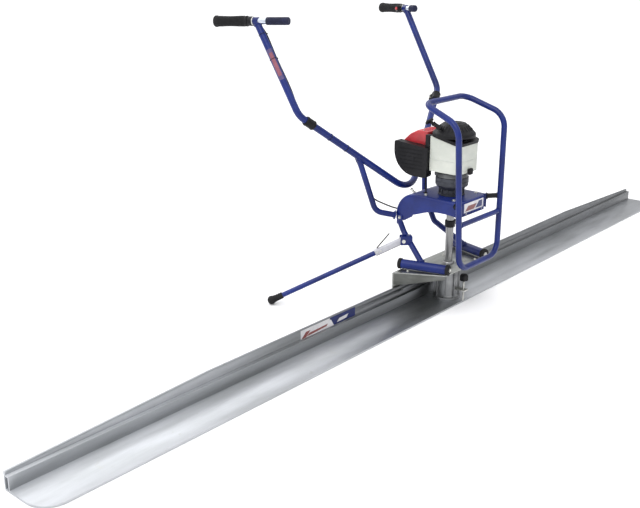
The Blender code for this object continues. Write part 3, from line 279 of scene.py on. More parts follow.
def skin(rows, around=True, closed=False, caps=False):
    """Faces between rows of points. Around joins each row's ends; closed joins the last row to the first."""
    bm = bmesh.new()
    rows = [[bm.verts.new(point) for point in row] for row in rows]
    for low, high in list(zip(rows, rows[1:])) + ([(rows[-1], rows[0])] if closed else []):
        for k in range(len(low) if around else len(low) - 1):
            j = (k + 1) % len(low)
            bm.faces.new((low[k], low[j], high[j], high[k]))
    if caps:
        bm.faces.new(rows[0][::-1])
        bm.faces.new(rows[-1])
    return bm


def settle(bm, matrix=None):
    """Merges doubled points, turns the faces outwards and moves the mesh into place."""
    bmesh.ops.remove_doubles(bm, verts=bm.verts, dist=0.00001)
    bmesh.ops.recalc_face_normals(bm, faces=bm.faces)
    if matrix is not None:
        bmesh.ops.transform(bm, matrix=matrix, verts=bm.verts)
    return bm


def piece(name, parts, finish, body="frame", replaces=None, bevel=0.0, angle=35, segments=3):
    """One shown object out of several bmeshes, riding on a body."""
    bm = join(parts)
    mesh = bpy.data.meshes.new(name)
    bm.to_mesh(mesh)
    bm.free()
    mesh.materials.append(finish)
    mesh.shade_smooth()
    mesh.set_sharp_from_angle(angle=radians(angle))
    obj = bpy.data.objects.new(name, mesh)
    bpy.context.scene.collection.objects.link(obj)
    if bevel:
        soften(obj, bevel, segments)
    if replaces:
        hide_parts(replaces)
    if body:
        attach(obj, body)
    return obj


def soften(obj, width, segments=2):
    bevel = obj.modifiers.new("Bevel", "BEVEL")
    bevel.width = width
    bevel.segments = segments
    bevel.limit_method = "ANGLE"
    bevel.angle_limit = radians(40)
    bevel.harden_normals = True


def sweep(points, radius, sides=24, cyclic=False, ease=0.0008):
    """A round tube along the points. Its two ends are closed, with their rims eased."""
    points = [Vector(p) for p in points]
    radii = [radius] * len(points)
    if not cyclic and ease:
        first = points[0] + (points[1] - points[0]).normalized() * ease
        last = points[-1] + (points[-2] - points[-1]).normalized() * ease
        points = [points[0], first, *points[1:-1], last, points[-1]]
        radii = [radius - ease, *[radius] * (len(points) - 2), radius - ease]
    count = len(points)
    tangents = []
    for i in range(count):
        before = points[i - 1] if i or cyclic else points[0]
        after = points[(i + 1) % count] if i < count - 1 or cyclic else points[-1]
        tangents.append((after - before).normalized())
    normals = [tangents[0].orthogonal().normalized()]
    for a, b in zip(tangents, tangents[1:]):
        normals.append((a.rotation_difference(b) @ normals[-1]).normalized())
    if cyclic:
        carried = tangents[-1].rotation_difference(tangents[0]) @ normals[-1]
        twist = carried.angle(normals[0])
        if carried.cross(normals[0]).dot(tangents[0]) < 0:
            twist = -twist
        normals = [Quaternion(t, twist * i / count) @ n for i, (t, n) in enumerate(zip(tangents, normals))]
    turns = [2 * pi * k / sides for k in range(sides)]
    rings = []
    for point, tangent, normal, r in zip(points, tangents, normals, radii):
        across = tangent.cross(normal)
        rings.append([point + (normal * cos(turn) + across * sin(turn)) * r for turn in turns])
    return skin(rings, closed=cyclic, caps=not cyclic)


def lathe(profile, matrix=None, steps=48, closed=False):
    """A solid of revolution about local Z. The (radius, height) profile runs down its outer side."""
    columns = []
    for k in range(steps):
        angle = 2 * pi * k / steps
        columns.append([(r * cos(angle), r * sin(angle), z) for r, z in profile])
    return settle(skin(columns, around=closed, closed=True), matrix)


def block(low, high, matrix=None, bevel=0.0, segments=3):
    low, high = Vector(low), Vector(high)
    bm = bmesh.new()
    bmesh.ops.create_cube(bm, size=1.0)
    bmesh.ops.scale(bm, vec=high - low, verts=bm.verts)
    bmesh.ops.translate(bm, vec=(low + high) / 2, verts=bm.verts)
    if bevel:
        bmesh.ops.bevel(bm, geom=bm.edges[:], offset=bevel, segments=segments, affect="EDGES", profile=0.5)
    if matrix is not None:
        bmesh.ops.transform(bm, matrix=matrix, verts=bm.verts)
    return bm


def plate(outlines, thickness, matrix=None, bevel=0.0, segments=2):
    """Flat outlines in local XY, the first outside and the rest holes, thickened evenly about the plane."""
    curve = bpy.data.curves.new("outline", "CURVE")
    curve.dimensions = "2D"
    curve.fill_mode = "BOTH"
    curve.extrude = thickness / 2
    for outline in outlines:
        spline = curve.splines.new("POLY")
        spline.points.add(len(outline) - 1)
        spline.use_cyclic_u = True
        for point, (x, y) in zip(spline.points, outline):
            point.co = (x, y, 0, 1)
    obj = bpy.data.objects.new("outline", curve)
    bpy.context.scene.collection.objects.link(obj)
    graph = bpy.context.evaluated_depsgraph_get()
    mesh = bpy.data.meshes.new_from_object(obj.evaluated_get(graph))
    bpy.data.objects.remove(obj)
    bm = bmesh.new()
    bm.from_mesh(mesh)
    bpy.data.meshes.remove(mesh)
    settle(bm)
    if bevel:
        rims = [e for e in bm.edges
            if e.calc_face_angle(0) > radians(60) and abs(e.verts[0].co.z - e.verts[1].co.z) < 0.0001]
        bmesh.ops.bevel(bm, geom=rims, offset=bevel, segments=segments, affect="EDGES", profile=0.5)
    if matrix is not None:
        bmesh.ops.transform(bm, matrix=matrix, verts=bm.verts)
    return bm


def arc(corner, before, after, radius, step=6):
    """The points that round one corner of a path."""
    a, b = (before - corner).normalized(), (after - corner).normalized()
    turn = pi - a.angle(b)
    centre = corner + (a + b).normalized() * (radius / cos(turn / 2))
    reach = radius * tan(turn / 2)
    start, end = corner + a * reach - centre, corner + b * reach - centre
    axis = start.cross(end).normalized()
    count = max(2, ceil(degrees(turn) / step))
    return [centre + Quaternion(axis, turn * i / count) @ start for i in range(count + 1)]


def bent(corners, radii):
    points = [corners[0]]
    for before, corner, after, radius in zip(corners, corners[1:], corners[2:], radii):
        points += arc(corner, before, after, radius)
    return points + [corners[-1]]


def closed_bent(corners, radii):
    points = []
    for i, (corner, radius) in enumerate(zip(corners, radii)):
        points += arc(corner, corners[i - 1], corners[(i + 1) % len(corners)], radius)
    return points


def circle_arc(centre, radius, first, last, count):
    angles = [radians(first + (last - first) * i / count) for i in range(count + 1)]
    return [(centre[0] + radius * cos(a), centre[1] + radius * sin(a)) for a in angles]


def smooth_route(places, steps=8):
    """A Catmull-Rom curve through the places."""
    ends = [places[0] * 2 - places[1], *places, places[-1] * 2 - places[-2]]
    points = []
    for a, b, c, d in zip(ends, ends[1:], ends[2:], ends[3:]):
        for i in range(steps):
            t = i / steps
            points.append(0.5 * (2 * b + (c - a) * t + (2 * a - 5 * b + 4 * c - d) * t**2
                + (3 * b - a - 3 * c + d) * t**3))
    return points + [places[-1]]


def mirrored(place, sign):
    return at(place[0] * sign, place[1], place[2])


def hex_bolt(place, direction, size=0.006, height=0.0045, washer=True):
    """A hex head on its washer, standing on place."""
    matrix = facing(direction, place)
    parts = []
    hexagon = [(size * cos(radians(60 * k)), size * sin(radians(60 * k))) for k in range(6)]
    base = 0.0012 if washer else 0.0
    middle = matrix @ shift(0, 0, base + height / 2)
    parts.append(plate([hexagon], height, middle, 0.0004))
    if washer:
        profile = [(0, 0.0012), (size * 1.35, 0.0012), (size * 1.42, 0.0009), (size * 1.42, 0), (0, 0)]
        parts.append(lathe(profile, matrix, 24))
    return parts


def cap_screw(place, direction, size=0.0035):
    """A round socket screw."""
    matrix = facing(direction, place)
    profile = [(0, size * 0.35), (size * 0.45, size * 0.35), (size * 0.5, size * 0.95), (size * 0.85, size),
        (size, size * 0.85), (size, 0), (0, 0)]
    return lathe(profile, matrix, 20)


def weld_bead(centre, axis, radius, thickness=0.0022, waves=26):
    """A rippled ring of weld where one tube meets another."""
    matrix = facing(axis, centre)
    points = []
    count = waves * 4
    for i in range(count):
        angle = 2 * pi * i / count
        r = radius + 0.0004 * sin(waves * angle)
        points.append(matrix @ at(r * cos(angle), r * sin(angle), 0))
    return sweep(points, thickness, 8, cyclic=True)


def cad(name, finish, bevel=0.0, segments=2):
    """A CAD node kept as it is, with a material and eased edges."""
    obj = frame["nodes"][name]
    obj.data.materials.clear()
    obj.data.materials.append(finish)
    obj.data.shade_smooth()
    obj.data.set_sharp_from_angle(angle=radians(35))
    if bevel:
        weld = obj.modifiers.new("Weld", "WELD")
        weld.merge_threshold = 0.00002
        soften(obj, bevel, segments)
    return obj


def lower_tube_point(side, share):
    return mirrored(YOKE_APEX.lerp(HANDLE_CORNER, share), side)


def beside_tube(side, share, offset):
    """A point beside the lower tube, on its inner rear side."""
    along = (mirrored(HANDLE_CORNER, side) - YOKE_APEX).normalized()
    hint = at(0.7, 0.7, 0)
    return lower_tube_point(side, share) + (hint - along * hint.dot(along)).normalized() * offset


# ---------------------------------------------------------------- board and base
def add_board():
    cad("screed_board", BOARD, 0.0008)
    half = BOARD_HALF
    tops = ((0.003 - half, 0.0532), (-RIB_TAPER_START, 0.0787), (RIB_TAPER_START, 0.0787),
        (half - 0.003, 0.0532))
    lip = [at(x, 0.0865, z) for x, z in tops]
    piece("board_top_lip", [sweep(lip, 0.0032, 12)], BOARD)
    ledge = [at(side * (half - 0.002), 0.0712, 0.044) for side in (-1, 1)]
    piece("board_ledge_bead", [sweep(ledge, 0.0014, 10)], BOARD)
    # A plain generic sticker on the rib: a red stroke on a white field, then a white stroke on a blue field.
    face = 0.0838
    start, split, end = -0.742, -0.594, -0.457
    low, high = 0.0425, 0.0765
    piece("board_sticker_white", [block((start, face - 0.0004, low), (split, face, high))], LABEL_WHITE)
    piece("board_sticker_blue", [block((split, face - 0.0004, low), (end, face, high))], LABEL_BLUE)

    def stroke(points, step=0.0006):
        return plate([points], 0.0004, shift(0, face - step, 0) @ XZ_PLANE)

    red = [stroke([(-0.738, 0.046), (-0.716, 0.046), (-0.694, 0.066), (-0.716, 0.066)]),
        stroke([(-0.712, 0.048), (-0.612, 0.053), (-0.604, 0.06), (-0.7, 0.057)])]
    piece("board_sticker_red", red, LABEL_RED)
    pale = [stroke([(-0.556, 0.05), (-0.506, 0.052), (-0.494, 0.064), (-0.544, 0.062)]),
        stroke([(-0.612, 0.044), (-0.572, 0.044), (-0.588, 0.07), (-0.6, 0.07)], 0.0005)]
    piece("board_sticker_pale", pale, LABEL_WHITE)


def add_base():
    rear, front = 0.0922, -0.077
    corners = [(-0.226, rear), (-0.13, front), (0.13, front), (0.226, rear)]
    sheet = plate([corners, circle_arc((0, 0), 0.011, 0, 354, 40)], 0.005, shift(0, 0, 0.1395), 0.0012)
    low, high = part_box("base_plate")
    rear_flange = [(-0.224, low.z), (0.224, low.z), (0.224, 0.138), (-0.224, 0.138)]
    holes = [circle_arc((x, 0.062), 0.0045, 0, 345, 24) for x in (-0.175, 0.175)]
    back = plate([rear_flange, *holes], 0.005, shift(0, high.y - 0.0025, 0) @ XZ_PLANE, 0.001)
    piece("base_plate_sheet", [sheet, back], PLATE, replaces="base_plate")
    skirts = []
    for side in (-1, 1):
        start, end = at(side * 0.226, rear, 0), at(side * 0.13, front, 0)
        along = (end - start).normalized()
        length = (end - start).length - 0.004
        inwards = at(along.y, -along.x, 0) * side
        outline = [(0.004, 0.1372), (0.004, 0.094), (0.02, 0.0935), (length * 0.3, 0.0985),
            (length * 0.6, 0.1095), (length * 0.85, 0.119), (length, 0.124), (length, 0.1372)]
        place = facing(along.cross(Z_AXIS), start + inwards * 0.0021, along)
        skirts.append(plate([outline], 0.003, place, 0.0006))
    # The skirts take the painted-shade aluminium, darker than the plate
    piece("base_plate_skirts", skirts, SKIRT_PAINTED_SHADE)
    bolts = []
    for side in (-1, 1):
        for x, y in ((0.178, 0.06), (0.098, -0.058), (0.06, 0.06), (0.06, -0.03)):
            bolts += hex_bolt((side * x, y, 0.142), Z_AXIS, 0.005, 0.004)
    piece("base_plate_bolts", bolts, ZINC)
    profile = [(0.011, 0.1367), (0.053, 0.1367), (0.054, 0.1357), (0.054, 0.1277), (0.0525, 0.1262),
        (0.0455, 0.125), (0.042, 0.1215), (0.042, 0.021), (0.0455, 0.0165), (0.0505, 0.0155), (0.052, 0.0145),
        (0.052, 0.0063), (0.0, 0.0063)]
    housing = [lathe(profile, steps=64)]
    for k in range(8):
        turn = spin(45 * k + 22.5)
        housing.append(block((0.04, -0.0022, 0.018), (0.049, 0.0022, 0.124), turn, 0.0012, 2))
        housing.append(cap_screw(turn @ at(0.0468, 0, 0.0155), Z_AXIS, 0.0032))
    piece("exciter_casting", housing, HOUSING, replaces="exciter_housing")
    cad("front_clamp", ZINC, 0.0004)
    for name in ("upper_bearing", "lower_bearing", "drive_shaft"):
        cad(name, ZINC)
    cad("eccentric_weight", HEAT_DARK_AND_SHADE)
    tube = [(0.01, 0.4067), (0.014, 0.4067), (0.0145, 0.4062), (0.0145, 0.1428), (0.014, 0.1423),
        (0.01, 0.1423)]
    seat = [(0.0146, 0.15), (0.019, 0.1495), (0.0215, 0.147), (0.0225, 0.1423), (0.0146, 0.1423)]
    head = [(0.0146, 0.4067), (0.024, 0.4067), (0.024, 0.403), (0.019, 0.399), (0.0146, 0.398)]
    piece("drive_post_tube", [lathe(tube, steps=48, closed=True), lathe(seat, closed=True),
        lathe(head, closed=True)], POST, replaces="drive_post")
    collar = [(0.0148, 0.311), (0.0178, 0.311), (0.0192, 0.3096), (0.0195, 0.306), (0.0195, 0.29),
        (0.0192, 0.2864), (0.0178, 0.285), (0.0148, 0.285)]
    lugs = [block((0.0165, y, 0.289), (0.04, y + 0.0058, 0.307), bevel=0.0018) for y in (-0.007, 0.0012)]
    piece("post_collar", [lathe(collar, closed=True), *lugs], BLACK, replaces="post_clamp")
    shank = [(0, 0.0085), (0.0022, 0.0085), (0.0022, -0.0085), (0, -0.0085)]
    screw = hex_bolt((0.03, -0.007, 0.298), -Y_AXIS, 0.0042, 0.0032)
    piece("post_collar_screw", [*screw, lathe(shank, facing(Y_AXIS, (0.03, 0, 0.298)), 16)], ZINC)


def knob(name, place, direction, stud, replaced, body, stud_radius=0.0038):
    """A five-lobed hand knob with a domed top, a collar and a threaded stud."""
    matrix = facing(direction, place)
    count = 60
    rows = [(0.86, 0.0008), (0.98, 0.0026), (1.0, 0.006), (1.0, 0.0185), (0.95, 0.0226), (0.8, 0.0248),
        (0.5, 0.0257), (0.12, 0.026)]
    rings = []
    for share, height in rows:
        ring = []
        for k in range(count):
            angle = 2 * pi * k / count
            reach = 0.015 * share * (1 + 0.085 * cos(5 * angle) * min(1.0, share))
            ring.append(matrix @ at(reach * cos(angle), reach * sin(angle), height))
        rings.append(ring)
    piece(name, [skin(rings, caps=True)], BLACK, body, replaced)
    threads = [(0, 0.004)]
    turns = int(stud / 0.0018)
    for k in range(turns):
        z = 0.003 - 0.0018 * k
        threads += [(stud_radius, z), (stud_radius - 0.0004, z - 0.0009)]
    threads += [(stud_radius - 0.0008, -stud), (0, -stud)]
    piece(name + "_stud", [lathe(threads, matrix, 24)], ZINC, body)


def add_knobs():
    knob("front_knob_grip", (0, -0.0735, 0.086), Z_AXIS, 0.0792, "front_clamp_knob", "front_knob")
    for label, side in SIDES:
        knob(f"{label}_knob_grip", (side * 0.175, 0.0976, 0.062), Y_AXIS, 0.012, f"{label}_rib_knob",
            f"{label}_knob")


# ---------------------------------------------------------------- frame
def add_feet():
    for label, side in SIDES:
        rear, front = at(side * 0.173, 0.091, FOOT_Z), at(side * 0.126, -0.074, FOOT_Z)
        middle = (rear + front) / 2
        along = (front - rear).normalized()
        top, bend = at(side * 0.1, 0.158, 0.296), at(side * 0.1, 0.138, 0.258)
        path = bent([top, bend, middle], [0.03])
        path[-1] = middle + (path[-2] - middle).normalized() * 0.008
        direction = (path[-2] - path[-1]).normalized()
        collar = middle + direction * 0.0205
        parts = [sweep([rear, front], 0.0175, 40, ease=0.001), sweep(path, 0.011, 32),
            weld_bead(collar, direction, 0.0115)]
        near, far = sorted((side * 0.1003, side * 0.1033))
        parts.append(block((near, 0.146, 0.286), (far, 0.172, 0.322), bevel=0.001))
        piece(f"{label}_foot_weldment", parts, BLUE, replaces=f"{label}_foot")
        piece(f"{label}_leg_bolt", hex_bolt((side * 0.1033, 0.159, 0.313), X_AXIS * side, 0.0045, 0.0036),
            ZINC)
        for end, place, outward in (("rear", rear, -along), ("front", front, along)):
            matrix = facing(outward, place)
            profile = [(0, 0.0133), (0.017, 0.0133), (0.0198, 0.0112), (0.0202, 0.009), (0.0192, 0.007),
                (0.0202, 0.005), (0.0202, 0.0015), (0.0195, 0.0003), (0.0142, 0.0003), (0.0142, -0.02),
                (0, -0.02)]
            piece(f"{label}_{end}_rubber_mount", [lathe(profile, matrix, 48)], RUBBER,
                replaces=f"{label}_{end}_isolator")
            head = matrix @ at(0, 0, 0.0133)
            piece(f"{label}_{end}_mount_bolt", hex_bolt(head, outward, 0.0055, 0.0038), ZINC)


def add_deck():
    """The pressed deck: one sheet whose sides turn down round a soft edge, with a separate front lip."""
    edge, thick, half = 0.01, 0.0035, 0.0995
    path = [((y, DECK_TOP), (0, 1)) for y in (-0.0915, -0.07, -0.04, -0.01, 0.02, 0.05, 0.075)]
    for y, z in circle_arc((0, 0), 1, 90, 0, 16):
        path.append(((ARC_Y + ARC_RADIUS * y, ARC_Z + ARC_RADIUS * z), (y, z)))
    path.append(((ARC_Y + ARC_RADIUS, 0.303), (1, 0)))
    depths = [0.054, 0.0515, 0.0495, 0.05, 0.052, 0.061, 0.07] + [0.077] * 17 + [0.04]
    rows = []
    for ((y, z), (ny, nz)), depth in zip(path, depths):
        section = []
        for side in (-1, 1):
            flange = [(side * half, -depth + (depth - edge) * k / 5) for k in range(6)]
            bend = [(side * x, z) for x, z in circle_arc((half - edge, -edge), edge, 15, 90, 5)]
            run = flange + bend
            section += run if side < 0 else run[::-1]
        rows.append([(x, y + ny * d, z + nz * d) for x, d in section])
    bm = skin(rows, around=False)
    bmesh.ops.recalc_face_normals(bm, faces=bm.faces)
    shell = piece("deck_pressing", [bm], BLUE, replaces="engine_deck")
    solid = shell.modifiers.new("Solidify", "SOLIDIFY")
    solid.thickness = thick
    upward = max(shell.data.polygons, key=lambda p: p.center.z).normal.z > 0
    solid.offset = -1 if upward else 1
    soften(shell, 0.0008, 2)
    front = -0.0998
    bend = circle_arc((front + 0.008, DECK_TOP - 0.008), 0.008, 180, 90, 8)
    inner = circle_arc((front + 0.008, DECK_TOP - 0.008), 0.0045, 90, 180, 8)
    outline = [(front, 0.357), *bend, *inner, (front + 0.0035, 0.357)]
    lip = plate([outline], 0.148, shift(-0.004, 0, 0) @ YZ_PLANE, 0.0006)
    piece("deck_front_lip", [lip], BLUE)
    patch = [block((-0.066, front - 0.0002, 0.369), (0.062, front + 0.0003, 0.403))]
    piece("deck_sticker_white", patch, LABEL_WHITE)
    turn = shift(0, front - 0.0003, 0) @ XZ_PLANE
    red = [(-0.058, 0.374), (0.0, 0.374), (0.018, 0.392), (-0.04, 0.392)]
    piece("deck_sticker_red", [plate([red], 0.0003, turn)], LABEL_RED)
    blue = [(0.008, 0.374), (0.054, 0.374), (0.054, 0.398), (0.032, 0.398)]
    piece("deck_sticker_blue", [plate([blue], 0.0003, turn)], LABEL_BLUE)
    bolts = []
    for x in (-0.075, 0.075):
        for y in (-0.06, 0.062):
            bolts += hex_bolt((x, y, DECK_TOP), Z_AXIS, 0.0052, 0.0042)
    for x in (-0.052, 0.052):
        bolts += hex_bolt((x, front, 0.3635), -Y_AXIS, 0.0036, 0.0011, washer=False)
    piece("deck_bolts", bolts, ZINC)
    ring = [(0.0036, 0.0016), (0.0075, 0.0016), (0.0085, 0.0004), (0.0085, -0.0001), (0.0036, -0.0001)]
    holes = ((Y_AXIS, (-0.08, 0.1812, 0.338)), (Z_AXIS, (-0.05, 0.082, DECK_TOP)))
    grommets = [lathe(ring, facing(direction, place), 24, closed=True) for direction, place in holes]
    piece("cable_grommets", grommets, RUBBER)


def add_cage():
    bottom, top, rear = at(0.13, -0.13, 0.175), at(0.153, -0.116, 0.7), at(0.13, 0.045, 0.757)
    corners = [mirrored(p, -1) for p in (rear, top, bottom)] + [bottom, top, rear]
    loop = closed_bent(corners, [0.045, 0.07, 0.055, 0.055, 0.07, 0.045])
    parts = [sweep(loop, CAGE_RADIUS, 32, cyclic=True)]
    share = (0.342 - bottom.z) / (top.z - bottom.z)
    end = bottom.lerp(top, share)
    inner = end - at(0.004, 0, 0)
    parts.append(sweep([mirrored(inner, -1), inner], 0.0095, 32, ease=0))
    for side in (-1, 1):
        parts.append(weld_bead(mirrored(end - at(0.0108, 0, 0), side), X_AXIS, 0.0098, 0.0018))
    share = (0.4 - bottom.z) / (top.z - bottom.z)
    stub_end = bottom.lerp(top, share)
    start = at(0.1003, -0.089, 0.3995)
    stubs = []
    for side in (-1, 1):
        a, b = mirrored(start, side), mirrored(stub_end, side)
        along = (b - a).normalized()
        stubs.append(sweep([a, b - along * 0.007], 0.0092, 28))
        stubs.append(lathe([(0, 0.004), (0.0115, 0.004), (0.0125, 0.003), (0.0125, 0), (0, 0)],
            facing(along, a), 28))
        parts.append(weld_bead(b - along * 0.0105, along, 0.0096, 0.0018))
    piece("cage_tube", parts, BLUE, replaces="roll_cage")
    piece("cage_side_stubs", stubs, BLACK)


def add_yoke():
    ends = [lower_tube_point(side, SPLIT_SHARE) for side in (-1, 1)]
    parts = [sweep(bent([ends[0], YOKE_APEX, ends[1]], [0.097]), TUBE_RADIUS, 40)]
    for side in (-1, 1):
        top = lower_tube_point(side, 0.494)
        corner, foot = mirrored(STRUT_CORNER, side), mirrored(STRUT_END, side)
        down = (corner - top).normalized()
        path = bent([top + down * 0.006, corner, foot], [0.045])
        share = (foot - corner).normalized()
        path[-1] = foot + share * ((0.1815 - foot.y) / share.y if abs(share.y) > 0.1 else 0)
        parts.append(sweep(path, 0.011, 32))
        parts.append(weld_bead(top + down * 0.015, down, 0.0113))
        parts.append(lathe([(0.0105, 0.003), (0.0165, 0.003), (0.018, 0.0015), (0.018, 0), (0.0105, 0)],
            facing(path[-2] - path[-1], path[-1]), 32, closed=True))
    piece("yoke_weldment", parts, BLUE, replaces="handle_yoke")
    low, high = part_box("yoke_standoff")
    centre = (low + high) / 2
    deck_centre = at(0, ARC_Y, ARC_Z)
    across = (centre - deck_centre).normalized()
    matrix = facing(across, centre)
    reach = 0.0105
    profile = [(0, reach), (0.0062, reach), (0.0062, reach - 0.002), (0.0048, reach - 0.003),
        (0.0048, 0.003 - reach), (0.007, 0.0015 - reach), (0.007, -reach), (0, -reach)]
    piece("yoke_spacer", [lathe(profile, matrix, 32)], ZINC, replaces="yoke_standoff")


def add_handles():
    for label, side in SIDES:
        body = f"{label}_handle"
        split = lower_tube_point(side, SPLIT_SHARE)
        corner, tee = mirrored(HANDLE_CORNER, side), mirrored(TEE, side)
        up = (corner - split).normalized()
        sleeve = [(0.0131, 0.02), (0.016, 0.02), (0.0172, 0.0185), (0.0172, -0.0185), (0.016, -0.02),
            (0.0131, -0.02)]
        clamp_frame = facing(up, split, Y_AXIS)
        ears = [block((0.015, y, -0.0155), (0.027, y + 0.0053, 0.0155), clamp_frame, 0.0015)
            for y in (-0.0065, 0.0012)]
        rims = [lathe([(0.0165, z + 0.0018), (0.0182, z + 0.001), (0.0182, z - 0.001), (0.0165, z - 0.0018)],
            clamp_frame, 40, closed=True) for z in (0.014, -0.014)]
        piece(f"{label}_clamp_sleeve", [lathe(sleeve, clamp_frame, 40, closed=True), *ears, *rims], BLACK,
            replaces=f"{label}_handle_clamp")
        screws = []
        for z in (-0.008, 0.008):
            head = clamp_frame @ at(0.022, 0.0065, z)
            screws.append(cap_screw(head, clamp_frame.to_3x3() @ Y_AXIS, 0.0034))
        piece(f"{label}_clamp_screws", screws, BRASS)
        path = bent([split + up * 0.0006, corner, tee], [0.06])
        path[-1] = tee + (path[-2] - tee).normalized() * 0.004
        down = (path[-2] - path[-1]).normalized()
        rear = mirrored(BAR_DIRECTION, side)
        spigot = sweep([split - up * 0.05, split + up * 0.004], 0.0102, 32)
        parts = [sweep(path, TUBE_RADIUS, 40), spigot, weld_bead(tee + down * 0.0138, down, 0.013)]
        piece(f"{label}_upper_tube", parts, BLUE, body, f"{label}_handle_tube")
        bar_rear, bar_front = tee + rear * (BAR_REAR - 0.005), tee - rear * (BAR_FRONT[label] - 0.003)
        stub_start = BAR_FRONT[label] - STUB_GRIP[label]
        saddle = sweep([tee - rear * 0.01, tee + rear * 0.015], 0.0138, 36, ease=0.0012)
        piece(f"{label}_tee_saddle", [saddle], BLUE, body)
        piece(f"{label}_cross_bar", [sweep([bar_front, bar_rear], BAR_RADIUS, 36)], BARE, body)
        bar_frame = facing(rear, tee, -Z_AXIS)
        add_grips(label, body, bar_frame, stub_start)


def add_grips(label, body, bar_frame, stub_start):
    start, end = 0.032, BAR_REAR
    profile = [(0, end), (0.013, end), (0.0185, end - 0.002), (0.0204, end - 0.0045), (0.0205, end - 0.0105),
        (0.019, end - 0.013)]
    z = end - 0.016
    while z > start + 0.014:
        share = (z - start) / (end - start)
        swell = 0.017 + 0.0012 * sin(pi * (0.25 + share * 1.4)) ** 2
        profile += [(swell + 0.0007, z), (swell + 0.0007, z - 0.0024), (swell - 0.0004, z - 0.0031),
            (swell - 0.0004, z - 0.0044)]
        z -= 0.005
    profile += [(0.0168, start + 0.01), (0.0182, start + 0.008), (0.0188, start + 0.004),
        (0.0176, start + 0.0004), (0.0114, start), (0.0114, end - 0.004), (0, end - 0.004)]
    piece(f"{label}_hand_grip", [lathe(profile, bar_frame, 48)], RUBBER, body, f"{label}_rear_grip")
    front = BAR_FRONT[label]
    profile = [(0.0114, -stub_start), (0.0132, -stub_start - 0.0004), (0.014, -stub_start - 0.003)]
    z = -stub_start - 0.008
    while z > 0.01 - front:
        profile += [(0.0139, z), (0.0139, z - 0.0035), (0.0131, z - 0.0041), (0.0131, z - 0.0052)]
        z -= 0.006
    profile += [(0.0139, 0.006 - front), (0.0136, 0.003 - front), (0.0115, 0.0004 - front), (0, -front),
        (0, 0.003 - front), (0.0114, 0.003 - front)]
    piece(f"{label}_front_sleeve", [lathe(profile, bar_frame, 48, closed=True)], DARK_STUB, body,
        f"{label}_front_grip")


def add_controls():
    left = facing(mirrored(BAR_DIRECTION, -1), mirrored(TEE, -1), -Z_AXIS)
    right = facing(BAR_DIRECTION, TEE, -Z_AXIS)
    for name in ("throttle_housing", "throttle_lever", "stop_switch"):
        cad(name, BLACK, 0.0006)
    cad("stop_button", RED, 0.0004)
    screws = [cap_screw(left @ at(0.007, -0.0342, z), left.to_3x3() @ -Y_AXIS, 0.0024)
        for z in (0.019, 0.0275)]
    screws.append(cap_screw(left @ at(-0.0062, -0.024, 0.0235), left.to_3x3() @ -X_AXIS, 0.002))
    piece("throttle_housing_screws", screws, BRASS, "left_handle")
    screws = [cap_screw(right @ at(0.009, 0.032, 0.018), right.to_3x3() @ Y_AXIS, 0.0018)]
    piece("stop_switch_screw", screws, BRASS, "right_handle")
    ring = [(0.0114, 0.0144), (0.015, 0.0144), (0.015, 0.01), (0.0114, 0.01)]
    for name, matrix, body in (("throttle", left, "left_handle"), ("switch", right, "right_handle")):
        piece(f"{name}_clamp_ring", [lathe(ring, matrix, 32, closed=True)], ZINC, body)


def stand_frame():
    along = STAND_FOOT - STAND_PIVOT
    return facing(along, STAND_PIVOT, at(along.y, -along.x, 0))


